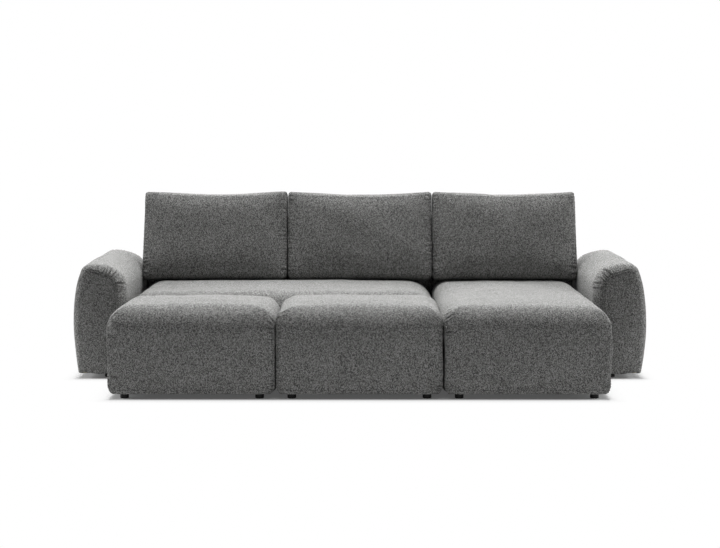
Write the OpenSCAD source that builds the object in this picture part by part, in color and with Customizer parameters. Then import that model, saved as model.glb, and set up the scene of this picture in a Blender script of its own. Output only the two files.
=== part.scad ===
// Sofa bed with a chaise: a two-place bench and a long chaise stand between two arms, with a
// back panel behind each. Two footrests dock against the bench and make the seats into a bed,
// and three loose back cushions lift off. Millimetres, +Z up, the front faces -Y and the chaise
// is on the +X side. The origin is on the floor, under the middle of the whole sofa bed.

/* [Layout] */
// Width of one seat place, and so of a footrest and of a back cushion
module_w = 800; // [680:10:960]
// Depth of a footrest, front to back
footrest_d = 635; // [480:5:800]
// Depth of the bench, from its front to the back panel
bench_d = 825; // [700:5:1000]
// Height of the edge of the seats' flat top above the floor
seat_h = 440; // [400:5:500]
// Play between the widest points of two neighbouring modules
module_gap = 0.8; // [0.6:0.1:3]

/* [Seat upholstery] */
// Rounding of the top edges of the seats
seat_edge_r = 100; // [60:5:130]
// Rounding of the seats' upright corners
seat_corner_r = 28; // [26:1:46]
// How far the sides of a seat swell out between their corners
seat_swell = 6; // [2:1:12]
// How far the top of a seat swells up in the middle
seat_crown = 16; // [2:1:24]
// Thickness of a cover together with its wadding
cover_t = 16; // [15:1:22]
// Rounding of a cover's bottom edge
hem_r = 10; // [4:1:11]
// Play between a cover and what it covers
lining_gap = 0.3; // [0.2:0.1:0.8]

/* [Seat frames] */
// Thickness of the frames' boards
board_t = 20; // [15:1:28]
// Height of a seat frame's outer boards
rail_h = 210; // [150:5:240]
// How much lower the cross boards are than the outer boards
rib_drop = 60; // [20:5:90]
// Widest gap between two cross boards
rib_pitch = 420; // [300:10:600]
// Side of the blocks that the feet are screwed to
block_w = 95; // [80:1:130]
// Height of the blocks that the feet are screwed to
block_h = 45; // [38:1:80]
// Width of an elastic strap
strap_w = 60; // [40:5:80]
// Thickness of an elastic strap
strap_t = 1.5; // [1:0.1:3]
// Smallest gap between two straps
strap_gap = 40; // [20:5:90]
// Thickness of the dust covers below the frames
dust_t = 2; // [1:0.5:4]

/* [Arms] */
// Width of an arm at its widest
arm_w = 273; // [250:1:340]
// Height of an arm's crown
arm_h = 596; // [570:1:680]
// Radius of the swelling outer side
arm_belly_r = 1250; // [1100:10:3000]
// Height at which the arm is widest
arm_belly_z = 270; // [220:5:330]
// Radius of the top's crown, across the arm
arm_crown_r = 264; // [230:2:500]
// Distance of the top's highest line from the seat
arm_crown_x = 175; // [160:1:185]
// Rounding of the arm's top edge on the seat side
arm_inner_r = 115; // [80:1:125]
// Rounding of the arm's top edge on the outside
arm_outer_r = 46; // [46:1:60]
// Rounding around the arm's front and rear panels
arm_end_r = 45; // [20:1:45]
// How far the arm's front and rear panels swell out
arm_end_swell = 7; // [1:1:12]
// Thickness of the padding on the arm's front and rear
arm_end_pad = 32; // [30:1:45]
// Width of an arm's inner frame
arm_frame_w = 160; // [150:1:175]
// Height of an arm's inner frame
arm_frame_h = 430; // [300:5:440]
// Distance of an arm's feet from its front and rear
arm_foot_inset = 82; // [76:1:120]

/* [Back panels] */
// Thickness of a back panel
back_t = 125; // [120:1:160]
// Height of the edge of the back panels' top above the floor
back_h = 620; // [560:5:680]
// Rounding of a back panel's top edges
back_edge_r = 45; // [26:1:50]
// Rounding of a back panel's upright corners
back_corner_r = 30; // [24:1:34]
// How far the sides of a back panel swell out
back_swell = 4; // [1:1:8]
// How far the top of a back panel swells up
back_crown = 4; // [1:1:8]
// Thickness of the foam at the sides and top of a back panel's frame
back_pad = 14; // [8:1:30]
// Depth of the frame inside a back panel
stud_d = 45; // [30:1:50]
// Width of that frame's uprights and rails
stud_w = 60; // [56:1:90]
// Widest gap between two uprights
stud_pitch = 600; // [400:20:900]

/* [Back cushions] */
// Height of a back cushion at its upper corners
cushion_h = 490; // [400:2:560]
// Thickness of a back cushion in its middle
cushion_t = 190; // [160:2:220]
// Thickness of a back cushion at its sides
cushion_side_t = 124; // [90:2:150]
// Rounding between a back cushion's faces and its sides
cushion_edge_r = 28; // [20:1:40]
// Backward lean of the cushions, in degrees
cushion_lean = 12; // [6:1:15]
// How far the top edge dips between the corners
cushion_dip = 19; // [0:1:26]
// How far the side edges draw in between the corners
cushion_draw = 4; // [0:1:8]
// Rounding of a back cushion's corners, seen from the front
cushion_corner_r = 26; // [16:1:40]
// Thickness of a back cushion's cover with its wadding
cushion_cover_t = 9; // [6:1:12]
// Height of a cushion above the seat, and distance from the back panel
rest_gap = 0.3; // [0.2:0.1:0.8]
// Length of the zip below each back cushion
zip_l = 620; // [400:10:640]
// Width of that zip
zip_w = 12; // [8:1:16]
// Thickness of that zip
zip_t = 2.5; // [1.5:0.5:3]

/* [Feet and fasteners] */
// Height of a foot
foot_h = 25; // [20:1:40]
// Diameter of a foot
foot_d = 42; // [36:1:56]
// Distance of a foot's middle from the side of its module
foot_inset_x = 77; // [68:1:100]
// Distance of a foot's middle from the front or rear of its module
foot_inset_y = 62; // [60:1:100]
// Diameter of a foot's screw
screw_d = 8; // [6:0.5:10]
// Length of a foot's screw above the foot
screw_l = 32; // [20:1:35]
// Diameter of the bolts that join back panels to seats
bolt_d = 8; // [6:0.5:10]
// Height of those bolts above the floor
bolt_z = 65; // [60:1:70]
// Length of a tie plate, along the seam that it bridges
tie_l = 40; // [30:1:60]
// Thickness of a tie plate
tie_t = 3; // [2:0.5:5]
// Distance of the tie plates from the bench's front and rear
tie_inset = 190; // [165:5:260]
// Diameter of the tie plates' screws
tie_screw_d = 5; // [4:0.5:6]
// Play around a screw or a bolt in its hole
screw_play = 0.15; // [0.1:0.05:0.4]

/* [Hidden] */
$fn = 48;

fabric = "#5b5b5a";
fleece = "#2a2a2c";
timber = "#c9a877";
foam_yellow = "#e4dcb4";
elastic = "#3c3a38";
black_plastic = "#121212";
zinc = "#b8bcc0";

// Segments in a corner, along a side and over a rounded edge of the soft forms
corner_steps = 4;
side_steps = 4;
edge_steps = 4;
// A crown's last ring: share of the way in to the middle, and share of the crown's height
crown_in = 0.4;
crown_up = 0.7;
// A cut runs this far past the face that it opens
past = 1;
// A screw hole runs this far past the screw's tip
tip_room = 2;

bench_w = 2 * module_w;
chaise_d = footrest_d + bench_d;
sofa_d = footrest_d + bench_d + back_t;
y_front = -sofa_d / 2;
bench_y = y_front + footrest_d;
panel_y = bench_y + bench_d;
bench_x = -module_w / 2;
chaise_x = module_w;
seats_side_x = 1.5 * module_w;

// From the edge of a module to the outside of its frame
seat_inset = module_gap / 2 + seat_swell + cover_t;
back_inset = module_gap / 2 + back_swell + cover_t;
frame_z = foot_h + dust_t;
rail_top = frame_z + rail_h;
foam_z = rail_top + 2 * strap_t;

// Arm: its length, its seat side, and the centres of its section's four round stretches
arm_x = module_gap / 2;
arm_l = bench_d + back_t - module_gap;
arm_y = bench_y + module_gap / 2;
arm_frame_l = arm_l - 2 * (arm_end_swell + arm_end_pad);
crown_c = [arm_crown_x, arm_h - arm_crown_r];
belly_c = [arm_w - arm_belly_r, arm_belly_z];
inner_c = touching(crown_c, arm_crown_r - arm_inner_r, arm_x + arm_inner_r);
outer_c = inside_both(crown_c, arm_crown_r, belly_c, arm_belly_r, arm_outer_r);

stud_top = back_h - cover_t - back_pad;
stud_back_y = panel_y + (back_t + stud_d) / 2;

// Cushion: half its thickness at the sides and in the middle, and half the width of the flat
// band along its sides
side_half = cushion_side_t / 2;
middle_half = cushion_t / 2;
band_half = side_half - cushion_edge_r;
// The cushion's lower edge at the back stands on the seat, and its back leans on the panel's
// round top edge. Each of its two places follows from the other, nearly, so the first is worked
// out again from the second.
cushion_y = leaning_y(standing_z(leaning_y(seat_h)));
cushion_z = standing_z(cushion_y);
// Its zip lies in a slot, clear of what the cushion stands on
zip_recess = 1.5;
zip_top = zip_recess + zip_t;

screw_hole_d = screw_d + 2 * screw_play;
screw_head_d = 2 * screw_d - 1;
screw_head_h = 5;
counterbore_d = screw_head_d + 1;
counterbore_h = screw_head_h + 4;
foot_chamfer = 2;
bolt_hole_d = bolt_d + 2 * screw_play;
bolt_head_d = 2 * bolt_d;
bolt_head_h = 0.6 * bolt_d;
bolt_front_y = panel_y - seat_inset - board_t;
// The tie plates' screws stand in the middle of the boards on both sides of a seam
tie_reach = seat_inset + board_t / 2;
tie_rim = 15;
tie_head_d = 2.2 * tie_screw_d;
tie_head_h = 2.5;
tie_bite = 25;
tie_hole_d = tie_screw_d + 2 * screw_play;

// Height of a seat's top at a distance inset from its widest side, for a seat whose narrower
// half is half
function seat_top(inset, half) =
    let (ring = crown_ring(half, seat_edge_r), flat = max(inset - seat_edge_r, 0))
    inset < seat_edge_r
        ? seat_h - seat_edge_r + sqrt(pow(seat_edge_r, 2) - pow(seat_edge_r - inset, 2))
        : seat_h + seat_crown * crown_up * min(flat / (ring - seat_edge_r), 1);
// Inset of a crown's last ring from the sides
function crown_ring(half, edge_r) = edge_r + crown_in * (half - edge_r);
// Height of a cushion's lower face, in its middle, when it stands at y
function standing_z(y) =
    let (rear_y = y + band_half * cos(cushion_lean), inner = [module_w, bench_d] / 2)
    seat_top(panel_y - module_gap / 2 - seat_swell - rear_y,
        min(inner.x, inner.y) - module_gap / 2 - seat_swell)
        + rest_gap + band_half * sin(cushion_lean);
// Place of a cushion that stands at the height z and leans on the back panel
function leaning_y(z) =
    panel_y + module_gap / 2 + back_edge_r
    - (middle_half + back_edge_r + rest_gap + (back_h - back_edge_r - z) * sin(cushion_lean))
    / cos(cushion_lean);

// Points of an arc about c from angle a to angle b
function arc(c, r, a, b, steps) =
    [for (k = [0 : steps]) c + r * [cos(a + (b - a) * k / steps), sin(a + (b - a) * k / steps)]];
function without_first(points) = [for (k = [1 : len(points) - 1]) points[k]];
function reversed(points) = [for (k = [len(points) - 1 : -1 : 0]) points[k]];
function heading(v) = atan2(v.y, v.x);
// The point above c, at distance reach from it, whose first coordinate is x
function touching(c, reach, x) = [x, c.y + sqrt(pow(reach, 2) - pow(c.x - x, 2))];
// Centre of a circle of radius r that lies inside two circles, touches both and is above them
function inside_both(c1, r1, c2, r2, r) =
    let (d = norm(c2 - c1), e = (c2 - c1) / d)
    let (a = (pow(r1 - r, 2) - pow(r2 - r, 2) + d * d) / (2 * d))
    c1 + a * e + sqrt(pow(r1 - r, 2) - a * a) * [e.y, -e.x];

// A rectangle about the origin, cut off at its corners
function bevelled(w, d, cut) = [
    [w / 2, d / 2 - cut], [w / 2 - cut, d / 2], [cut - w / 2, d / 2], [-w / 2, d / 2 - cut],
    [-w / 2, cut - d / 2], [cut - w / 2, -d / 2], [w / 2 - cut, -d / 2], [w / 2, cut - d / 2]
];

// The four corners of a rectangle in turn, from the upper right one, and then the first again
corners = [[1, 1], [-1, 1], [-1, -1], [1, -1], [1, 1]];
// A rectangle about the origin with round corners, whose top, left, bottom and right sides swell
// out by the four amounts, or draw in where an amount is negative
function outline(w, h, r, swells) = [
    for (side = [0 : 3])
        let (
            from = [corners[side].x * (w / 2 - r), corners[side].y * (h / 2 - r)],
            to = [corners[side + 1].x * (w / 2 - r), corners[side + 1].y * (h / 2 - r)],
            out = [cos(90 * (side + 1)), sin(90 * (side + 1))]
        )
        each concat(
            arc(from, r, 90 * side, 90 * (side + 1), corner_steps),
            [for (k = [1 : side_steps - 1])
                let (t = k / side_steps)
                from + (to - from) * t + out * (r + swells[side] * 4 * t * (1 - t))]
        )
];

// A closed skin through rings of points and an end point before and after them. Each ring runs
// counterclockwise as seen from the last end.
module loft(rings, first, last) {
    n = len(rings[0]);
    m = len(rings);
    function at(j, k) = 1 + j * n + k % n;
    polyhedron(
        points = concat([first], [for (ring = rings) each ring], [last]),
        faces = concat(
            [for (k = [0 : n - 1]) [0, at(0, k), at(0, k + 1)]],
            [for (j = [0 : m - 2], k = [0 : n - 1]) [at(j, k), at(j + 1, k), at(j + 1, k + 1)]],
            [for (j = [0 : m - 2], k = [0 : n - 1]) [at(j, k), at(j + 1, k + 1), at(j, k + 1)]],
            [for (k = [0 : n - 1]) [1 + m * n, at(m - 1, k + 1), at(m - 1, k)]]
        )
    );
}

// Upholstered block about the origin in a place of w by d: rounded top edges and upright
// corners, swollen sides, a crowned top and a hem that turns in below
module soft_block(w, d, top, edge_r, plan_r, swell, crown) {
    inner = [w, d] - [1, 1] * (module_gap + 2 * swell);
    half = min(inner.x, inner.y) / 2;
    crown_inset = crown_ring(half, edge_r);
    // Each ring: inset, height, share of the swell, and rounding of its corners
    levels = concat(
        [
            [hem_r, foot_h, 0.3, plan_r - hem_r],
            [0, foot_h + hem_r, 0.6, plan_r],
            [0, (foot_h + top - edge_r) / 2, 1, plan_r]
        ],
        [for (k = [0 : edge_steps])
            let (a = 90 * k / edge_steps, inset = edge_r * (1 - cos(a)))
            [inset, top - edge_r * (1 - sin(a)), 1 - 0.7 * sin(a),
                min(plan_r, 0.8 * (half - inset))]],
        [[crown_inset, top + crown_up * crown, 0, min(plan_r, 0.8 * (half - crown_inset))]]
    );
    rings = [for (level = levels)
        [for (p = outline(inner.x - 2 * level[0], inner.y - 2 * level[0], level[3],
                [1, 1, 1, 1] * swell * level[2]))
            [p.x, p.y, level[1]]]];
    loft(rings, [0, 0, foot_h], [0, 0, top + crown]);
}

// What fills an upholstered block: as long and wide as its cover's inside, from the height
// bottom up, with the same top edges. room is what it is larger by all round.
module block_filling(w, d, bottom, top, edge_r, plan_r, swell, room) {
    inner = [w, d] - [1, 1] * (module_gap + 2 * swell + 2 * cover_t - 2 * room);
    inner_top = top - cover_t + room;
    r = edge_r - cover_t + room;
    intersection() {
        translate([0, inner.y / 2, 0]) rotate([90, 0, 0]) linear_extrude(inner.y)
            polygon(round_topped(inner.x, bottom, inner_top, r));
        translate([-inner.x / 2, 0, 0]) rotate([90, 0, 90]) linear_extrude(inner.x)
            polygon(round_topped(inner.y, bottom, inner_top, r));
        translate([0, 0, bottom - past]) linear_extrude(inner_top - bottom + 2 * past)
            polygon(bevelled(inner.x, inner.y, corner_cut(plan_r)));
    }
}
function round_topped(w, bottom, top, r) = concat(
    [[-w / 2, bottom], [w / 2, bottom]],
    arc([w / 2 - r, top - r], r, 0, 90, edge_steps),
    arc([r - w / 2, top - r], r, 90, 180, edge_steps)
);
// Frames and fillings are cut at their upright corners, to stay inside a round cover
function corner_cut(plan_r) = max(past, 0.6 * (plan_r - cover_t));

// A box about the origin's upright axis, between two heights
module slab(w, d, bottom, top) {
    translate([-w / 2, -d / 2, bottom]) cube([w, d, top - bottom]);
}

// Where the feet of a seat of w by d stand, about its middle
function seat_feet(w, d) =
    [for (x = [-1, 1], y = [-1, 1]) [x * (w / 2 - foot_inset_x), y * (d / 2 - foot_inset_y)]];
function arm_feet() = [
    for (y = [arm_foot_inset, arm_l - arm_foot_inset]) [seat_inset + arm_frame_w / 2, arm_y + y]
];

// Seats, about their own middle

// Outer boards, lower cross boards over the shorter way, and a block in each corner
module seat_frame(w, d) {
    size = [w, d] - [1, 1] * 2 * seat_inset;
    inside = size - [1, 1] * 2 * board_t;
    rib_top = rail_top - rib_drop;
    gaps = ceil(max(inside.x, inside.y) / rib_pitch);
    intersection() {
        union() {
            difference() {
                slab(size.x, size.y, frame_z, rail_top);
                slab(inside.x, inside.y, frame_z - past, rail_top + past);
            }
            for (k = [1 : gaps - 1])
                if (inside.x > inside.y)
                    translate([inside.x * (k / gaps - 0.5), 0, 0])
                        slab(board_t, inside.y, frame_z, rib_top);
                else
                    translate([0, inside.y * (k / gaps - 0.5), 0])
                        slab(inside.x, board_t, frame_z, rib_top);
            for (x = [-1, 1], y = [-1, 1])
                translate([x * (inside.x - block_w) / 2, y * (inside.y - block_w) / 2, 0])
                    slab(block_w, block_w, frame_z, frame_z + block_h);
        }
        translate([0, 0, frame_z - past]) linear_extrude(rail_h + 2 * past)
            polygon(bevelled(size.x, size.y, corner_cut(seat_corner_r)));
    }
}

// Elastic straps from board to board, the second layer across the first
module seat_webbing(w, d) {
    size = [w, d] - [1, 1] * 2 * seat_inset;
    across = floor(size.y / (strap_w + strap_gap));
    along = floor(size.x / (strap_w + strap_gap));
    for (k = [0 : across - 1])
        translate([0, size.y * ((k + 0.5) / across - 0.5), 0])
            slab(size.x, strap_w, rail_top, rail_top + strap_t);
    for (k = [0 : along - 1])
        translate([size.x * ((k + 0.5) / along - 0.5), 0, 0])
            slab(strap_w, size.y, rail_top + strap_t, foam_z);
}

module seat_foam(w, d) {
    block_filling(w, d, foam_z, seat_h, seat_edge_r, seat_corner_r, seat_swell, 0);
}

module seat_cover(w, d) {
    difference() {
        soft_block(w, d, seat_h, seat_edge_r, seat_corner_r, seat_swell, seat_crown);
        block_filling(w, d, foot_h - past, seat_h, seat_edge_r, seat_corner_r, seat_swell,
            lining_gap);
    }
}

module seat_dust_cover(w, d) {
    size = [w, d] - [1, 1] * 2 * seat_inset;
    translate([0, 0, foot_h]) linear_extrude(dust_t)
        polygon(bevelled(size.x, size.y, corner_cut(seat_corner_r)));
}

// Arm on the +X side, from the seats' side outward

// Its section, i inside the outer skin: the base, the swelling outer side, the outer edge, the
// crown, the edge on the seat side and that side. Its lowest points are at the height low, and
// its lower corners are cut off by hem.
function arm_section(i, low, hem) =
    let (
        side_low = low + hem,
        a_low = asin((side_low - belly_c.y) / (arm_belly_r - i)),
        a_out = heading(outer_c - belly_c),
        a_top = heading(outer_c - crown_c),
        a_in = heading(inner_c - crown_c),
        belly_foot = belly_c.x + (arm_belly_r - i) * cos(a_low)
    )
    concat(
        hem > 0 ? [[arm_x + i + hem, low], [belly_foot - hem, low]] : [],
        arc(belly_c, arm_belly_r - i, a_low, a_out, edge_steps),
        without_first(arc(outer_c, arm_outer_r - i, a_out, a_top, edge_steps)),
        without_first(arc(crown_c, arm_crown_r - i, a_top, a_in, edge_steps)),
        without_first(arc(inner_c, arm_inner_r - i, a_in, 180, edge_steps)),
        [for (k = [1 : side_steps - 1])
            [arm_x + i, inner_c.y + (side_low - inner_c.y) * k / (side_steps - 1)]]
    );
function nearer(points, centre, share) = [for (p = points) p + (centre - p) * share];

module arm_skin() {
    middle = [arm_w / 2, arm_h / 2];
    // Half an arm's rings, from the end panel to where the sides start: section and distance
    // from the arm's end
    end_rings = concat(
        [[nearer(arm_section(arm_end_r, foot_h, hem_r), middle, crown_in),
            (1 - crown_up) * arm_end_swell]],
        [for (k = [edge_steps : -1 : 0])
            let (a = 90 * k / edge_steps)
            [arm_section(arm_end_r * (1 - cos(a)), foot_h, hem_r),
                arm_end_swell + arm_end_r * (1 - sin(a))]]
    );
    rings = concat(
        [for (ring = end_rings) [for (p = ring[0]) [p.x, arm_y + arm_l - ring[1], p.y]]],
        [for (ring = reversed(end_rings)) [for (p = ring[0]) [p.x, arm_y + ring[1], p.y]]]
    );
    loft(rings, [middle.x, arm_y + arm_l, middle.y], [middle.x, arm_y, middle.y]);
}

// The arm's section extruded between its end pads; room is what it is larger by all round
module arm_filling(low, room) {
    length = arm_frame_l + 2 * room;
    translate([0, arm_y + (arm_l + length) / 2, 0]) rotate([90, 0, 0]) linear_extrude(length)
        polygon(arm_section(cover_t - room, low, 0));
}

module arm_box(inset, bottom, top) {
    translate([seat_inset + inset, arm_y + (arm_l - arm_frame_l) / 2 + inset, bottom])
        cube([arm_frame_w - 2 * inset, arm_frame_l - 2 * inset, top - bottom]);
}

// A long box: sides, ends and two cross boards under a top board, and a block for each foot
module arm_frame() {
    inside_l = arm_frame_l - 2 * board_t;
    top = frame_z + arm_frame_h;
    difference() {
        arm_box(0, frame_z, top);
        arm_box(board_t, frame_z - past, top - board_t);
    }
    translate([seat_inset + arm_frame_w / 2, arm_y + arm_l / 2, 0]) {
        for (y = [-1, 1]) {
            translate([0, y * inside_l / 6, 0])
                slab(arm_frame_w - 2 * board_t, board_t, frame_z, top - board_t);
            translate([0, y * (inside_l - block_w) / 2, 0])
                slab(arm_frame_w - 2 * board_t, block_w, frame_z, frame_z + block_h);
        }
    }
}

module arm_foam() {
    difference() {
        arm_filling(frame_z, 0);
        arm_box(0, frame_z - past, frame_z + arm_frame_h);
    }
}

module arm_cover() {
    difference() {
        arm_skin();
        arm_filling(foot_h - past, lining_gap);
    }
}

module arm_dust_cover() {
    base = arm_section(cover_t, foot_h, 0);
    translate([base[len(base) - 1].x, arm_y + (arm_l - arm_frame_l) / 2, foot_h])
        cube([base[0].x - base[len(base) - 1].x, arm_frame_l, dust_t]);
}

// Back panels, about the origin

// Rails below and above, an upright at each end and the others evenly between
module back_frame(w) {
    length = w - 2 * (back_inset + back_pad);
    gaps = ceil((length - stud_w) / stud_pitch);
    slab(length, stud_d, frame_z, frame_z + stud_w);
    slab(length, stud_d, stud_top - stud_w, stud_top);
    for (k = [0 : gaps])
        translate([(length - stud_w) * (k / gaps - 0.5), 0, 0])
            slab(stud_w, stud_d, frame_z, stud_top);
}

module back_foam(w) {
    difference() {
        block_filling(w, back_t, frame_z, back_h, back_edge_r, back_corner_r, back_swell, 0);
        slab(w - 2 * (back_inset + back_pad), stud_d, frame_z - past, stud_top);
    }
}

module back_cover(w) {
    difference() {
        soft_block(w, back_t, back_h, back_edge_r, back_corner_r, back_swell, back_crown);
        block_filling(w, back_t, foot_h - past, back_h, back_edge_r, back_corner_r, back_swell,
            lining_gap);
    }
}

module back_dust_cover(w) {
    size = [w, back_t] - [1, 1] * 2 * back_inset;
    translate([0, 0, foot_h]) linear_extrude(dust_t)
        polygon(bevelled(size.x, size.y, corner_cut(back_corner_r)));
}

// Back cushions, upright, with the origin in the middle of their lower face

// Half a cushion's thickness: inset from its side and distance from its middle plane
half_profile = concat(
    arc([cushion_edge_r, band_half], cushion_edge_r, 180, 90, corner_steps - 1),
    [for (step = [[0.2, 0.6], [0.55, 0.92]])
        [cushion_edge_r + step[0] * (cushion_h / 2 - cushion_edge_r),
            side_half + step[1] * (middle_half - side_half)]]
);

module cushion_skin() {
    levels = concat(reversed(half_profile), [for (p = half_profile) [p.x, -p.y]]);
    rings = [for (level = levels)
        let (share = 1 - level.x / (0.75 * cushion_h / 2))
        [for (p = outline(module_w - module_gap - 2 * level.x, cushion_h - 2 * level.x,
                cushion_corner_r, [-cushion_dip, -cushion_draw, 0, -cushion_draw] * share))
            [p.x, level.y, p.y + cushion_h / 2]]];
    loft(rings, [0, middle_half, cushion_h / 2], [0, -middle_half, cushion_h / 2]);
}

// Half the filling's thickness, from its edge inward, its slant faces a little deeper in the
// cover; room is what it is larger by all round
function half_filling(room) =
    let (wall = cushion_cover_t - room)
    concat(
        arc([cushion_edge_r, band_half], cushion_edge_r - wall, 180, 90, corner_steps - 1),
        [for (k = [corner_steps : len(half_profile) - 1]) half_profile[k] - [0, 1.15 * wall]]
    );
// The filling's outline between two ends: rear half from the first end, front half back
function lens(from, to, room) =
    let (half = half_filling(room), rear = concat(
        [for (p = half) [p.y, from + p.x]], [for (p = reversed(half)) [p.y, to - p.x]]))
    concat(rear, [for (p = reversed(rear)) [-p.x, p.y]]);

module cushion_filling(room) {
    side = (module_w - module_gap) / 2 - cushion_draw;
    top = cushion_h - cushion_dip;
    cut = max(past, 0.6 * (cushion_corner_r - cushion_cover_t));
    intersection() {
        translate([-side, 0, 0]) rotate([90, 0, 90]) linear_extrude(2 * side)
            polygon(lens(0, top, room));
        linear_extrude(top) polygon([for (p = lens(-side, side, room)) [p.y, p.x]]);
        translate([0, middle_half, top / 2]) rotate([90, 0, 0]) linear_extrude(cushion_t)
            polygon(bevelled(2 * (side - cushion_cover_t + room),
                top - 2 * (cushion_cover_t - room), cut));
    }
}

module cushion_cover() {
    difference() {
        cushion_skin();
        cushion_filling(lining_gap);
        slab(zip_l + 2 * lining_gap, zip_w + 2 * lining_gap, -past, zip_top);
    }
}

module cushion_zip() {
    slab(zip_l, zip_w, zip_recess, zip_top);
}

// Feet and fasteners

// Round foot under the origin, with the screw's bore and the recess for its head
module foot() {
    rotate_extrude() polygon([
        [counterbore_d / 2, 0], [foot_d / 2 - foot_chamfer, 0], [foot_d / 2, foot_chamfer],
        [foot_d / 2, foot_h], [screw_hole_d / 2, foot_h], [screw_hole_d / 2, counterbore_h],
        [counterbore_d / 2, counterbore_h]
    ]);
}

module foot_screw() {
    translate([0, 0, counterbore_h - screw_head_h]) cylinder(d = screw_head_d, h = screw_head_h);
    translate([0, 0, counterbore_h]) cylinder(d = screw_d, h = foot_h - counterbore_h + screw_l);
}

module foot_screw_hole() {
    cylinder(d = screw_hole_d, h = foot_h + screw_l + tip_room);
}

// Places on the sofa

module at_bench() translate([bench_x, bench_y + bench_d / 2, 0]) children();
module at_chaise() translate([chaise_x, y_front + chaise_d / 2, 0]) children();
module at_left_footrest() translate([-module_w, y_front + footrest_d / 2, 0]) children();
module at_right_footrest() translate([0, y_front + footrest_d / 2, 0]) children();
module at_right_arm() translate([seats_side_x, 0, 0]) children();
module at_left_arm() mirror([1, 0, 0]) at_right_arm() children();
module at_bench_back() translate([bench_x, panel_y + back_t / 2, 0]) children();
module at_chaise_back() translate([chaise_x, panel_y + back_t / 2, 0]) children();
module at_cushion(place) {
    translate([place * module_w, cushion_y, cushion_z]) rotate([-cushion_lean, 0, 0]) children();
}
module at_each(points) for (p = points) translate([p.x, p.y, 0]) children();

module at_back_bolts() {
    for (place = [-1 : 1], side = [-1, 1])
        translate([module_w * (place + side / 4), bolt_front_y, bolt_z])
            rotate([-90, 0, 0]) children();
}

module at_tie_plates() {
    for (x = [-seats_side_x, module_w / 2, seats_side_x], y = [bench_y + tie_inset,
            panel_y - tie_inset])
        translate([x, y, foot_h - tie_t]) children();
}

module at_tie_screws() {
    at_tie_plates() for (x = [-1, 1], y = [-1, 1])
        translate([x * tie_reach, y * tie_l / 4, 0]) children();
}

// Drillings through all that the bolts and the tie plates' screws pass
module bolt_holes() {
    at_back_bolts() translate([0, 0, -past])
        cylinder(d = bolt_hole_d, h = stud_back_y - bolt_front_y - bolt_head_h + 2 * past);
}

module nut_recesses() {
    at_back_bolts() translate([0, 0, stud_back_y - bolt_front_y - bolt_head_h])
        cylinder(d = bolt_head_d + 2 * screw_play, h = bolt_head_h + past);
}

module tie_screw_holes() {
    at_tie_screws() translate([0, 0, -past])
        cylinder(d = tie_hole_d, h = tie_t + tie_bite + tip_room + past);
}

// Sub-parts

module bench_frame() color(timber) difference() {
    at_bench() seat_frame(bench_w, bench_d);
    at_bench() at_each(seat_feet(bench_w, bench_d)) foot_screw_hole();
    tie_screw_holes();
    bolt_holes();
}
module bench_webbing() color(elastic) at_bench() seat_webbing(bench_w, bench_d);
module bench_foam() color(foam_yellow) at_bench() seat_foam(bench_w, bench_d);
module bench_cover() color(fabric) difference() {
    at_bench() seat_cover(bench_w, bench_d);
    bolt_holes();
}
module bench_dust_cover() color(fleece) difference() {
    at_bench() seat_dust_cover(bench_w, bench_d);
    at_bench() at_each(seat_feet(bench_w, bench_d)) foot_screw_hole();
    tie_screw_holes();
}
module bench_feet() color(black_plastic) at_bench() at_each(seat_feet(bench_w, bench_d)) foot();

module chaise_frame() color(timber) difference() {
    at_chaise() seat_frame(module_w, chaise_d);
    at_chaise() at_each(seat_feet(module_w, chaise_d)) foot_screw_hole();
    tie_screw_holes();
    bolt_holes();
}
module chaise_webbing() color(elastic) at_chaise() seat_webbing(module_w, chaise_d);
module chaise_foam() color(foam_yellow) at_chaise() seat_foam(module_w, chaise_d);
module chaise_cover() color(fabric) difference() {
    at_chaise() seat_cover(module_w, chaise_d);
    bolt_holes();
}
module chaise_dust_cover() color(fleece) difference() {
    at_chaise() seat_dust_cover(module_w, chaise_d);
    at_chaise() at_each(seat_feet(module_w, chaise_d)) foot_screw_hole();
    tie_screw_holes();
}
module chaise_feet() color(black_plastic)
    at_chaise() at_each(seat_feet(module_w, chaise_d)) foot();

module drilled_arm_frame() difference() {
    arm_frame();
    at_each(arm_feet()) foot_screw_hole();
    translate([-seats_side_x, 0, 0]) tie_screw_holes();
}
module drilled_arm_dust_cover() difference() {
    arm_dust_cover();
    at_each(arm_feet()) foot_screw_hole();
    translate([-seats_side_x, 0, 0]) tie_screw_holes();
}
module left_arm_frame() color(timber) at_left_arm() drilled_arm_frame();
module left_arm_foam() color(foam_yellow) at_left_arm() arm_foam();
module left_arm_cover() color(fabric) at_left_arm() arm_cover();
module left_arm_dust_cover() color(fleece) at_left_arm() drilled_arm_dust_cover();
module left_arm_feet() color(black_plastic) at_left_arm() at_each(arm_feet()) foot();
module right_arm_frame() color(timber) at_right_arm() drilled_arm_frame();
module right_arm_foam() color(foam_yellow) at_right_arm() arm_foam();
module right_arm_cover() color(fabric) at_right_arm() arm_cover();
module right_arm_dust_cover() color(fleece) at_right_arm() drilled_arm_dust_cover();
module right_arm_feet() color(black_plastic) at_right_arm() at_each(arm_feet()) foot();

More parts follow.
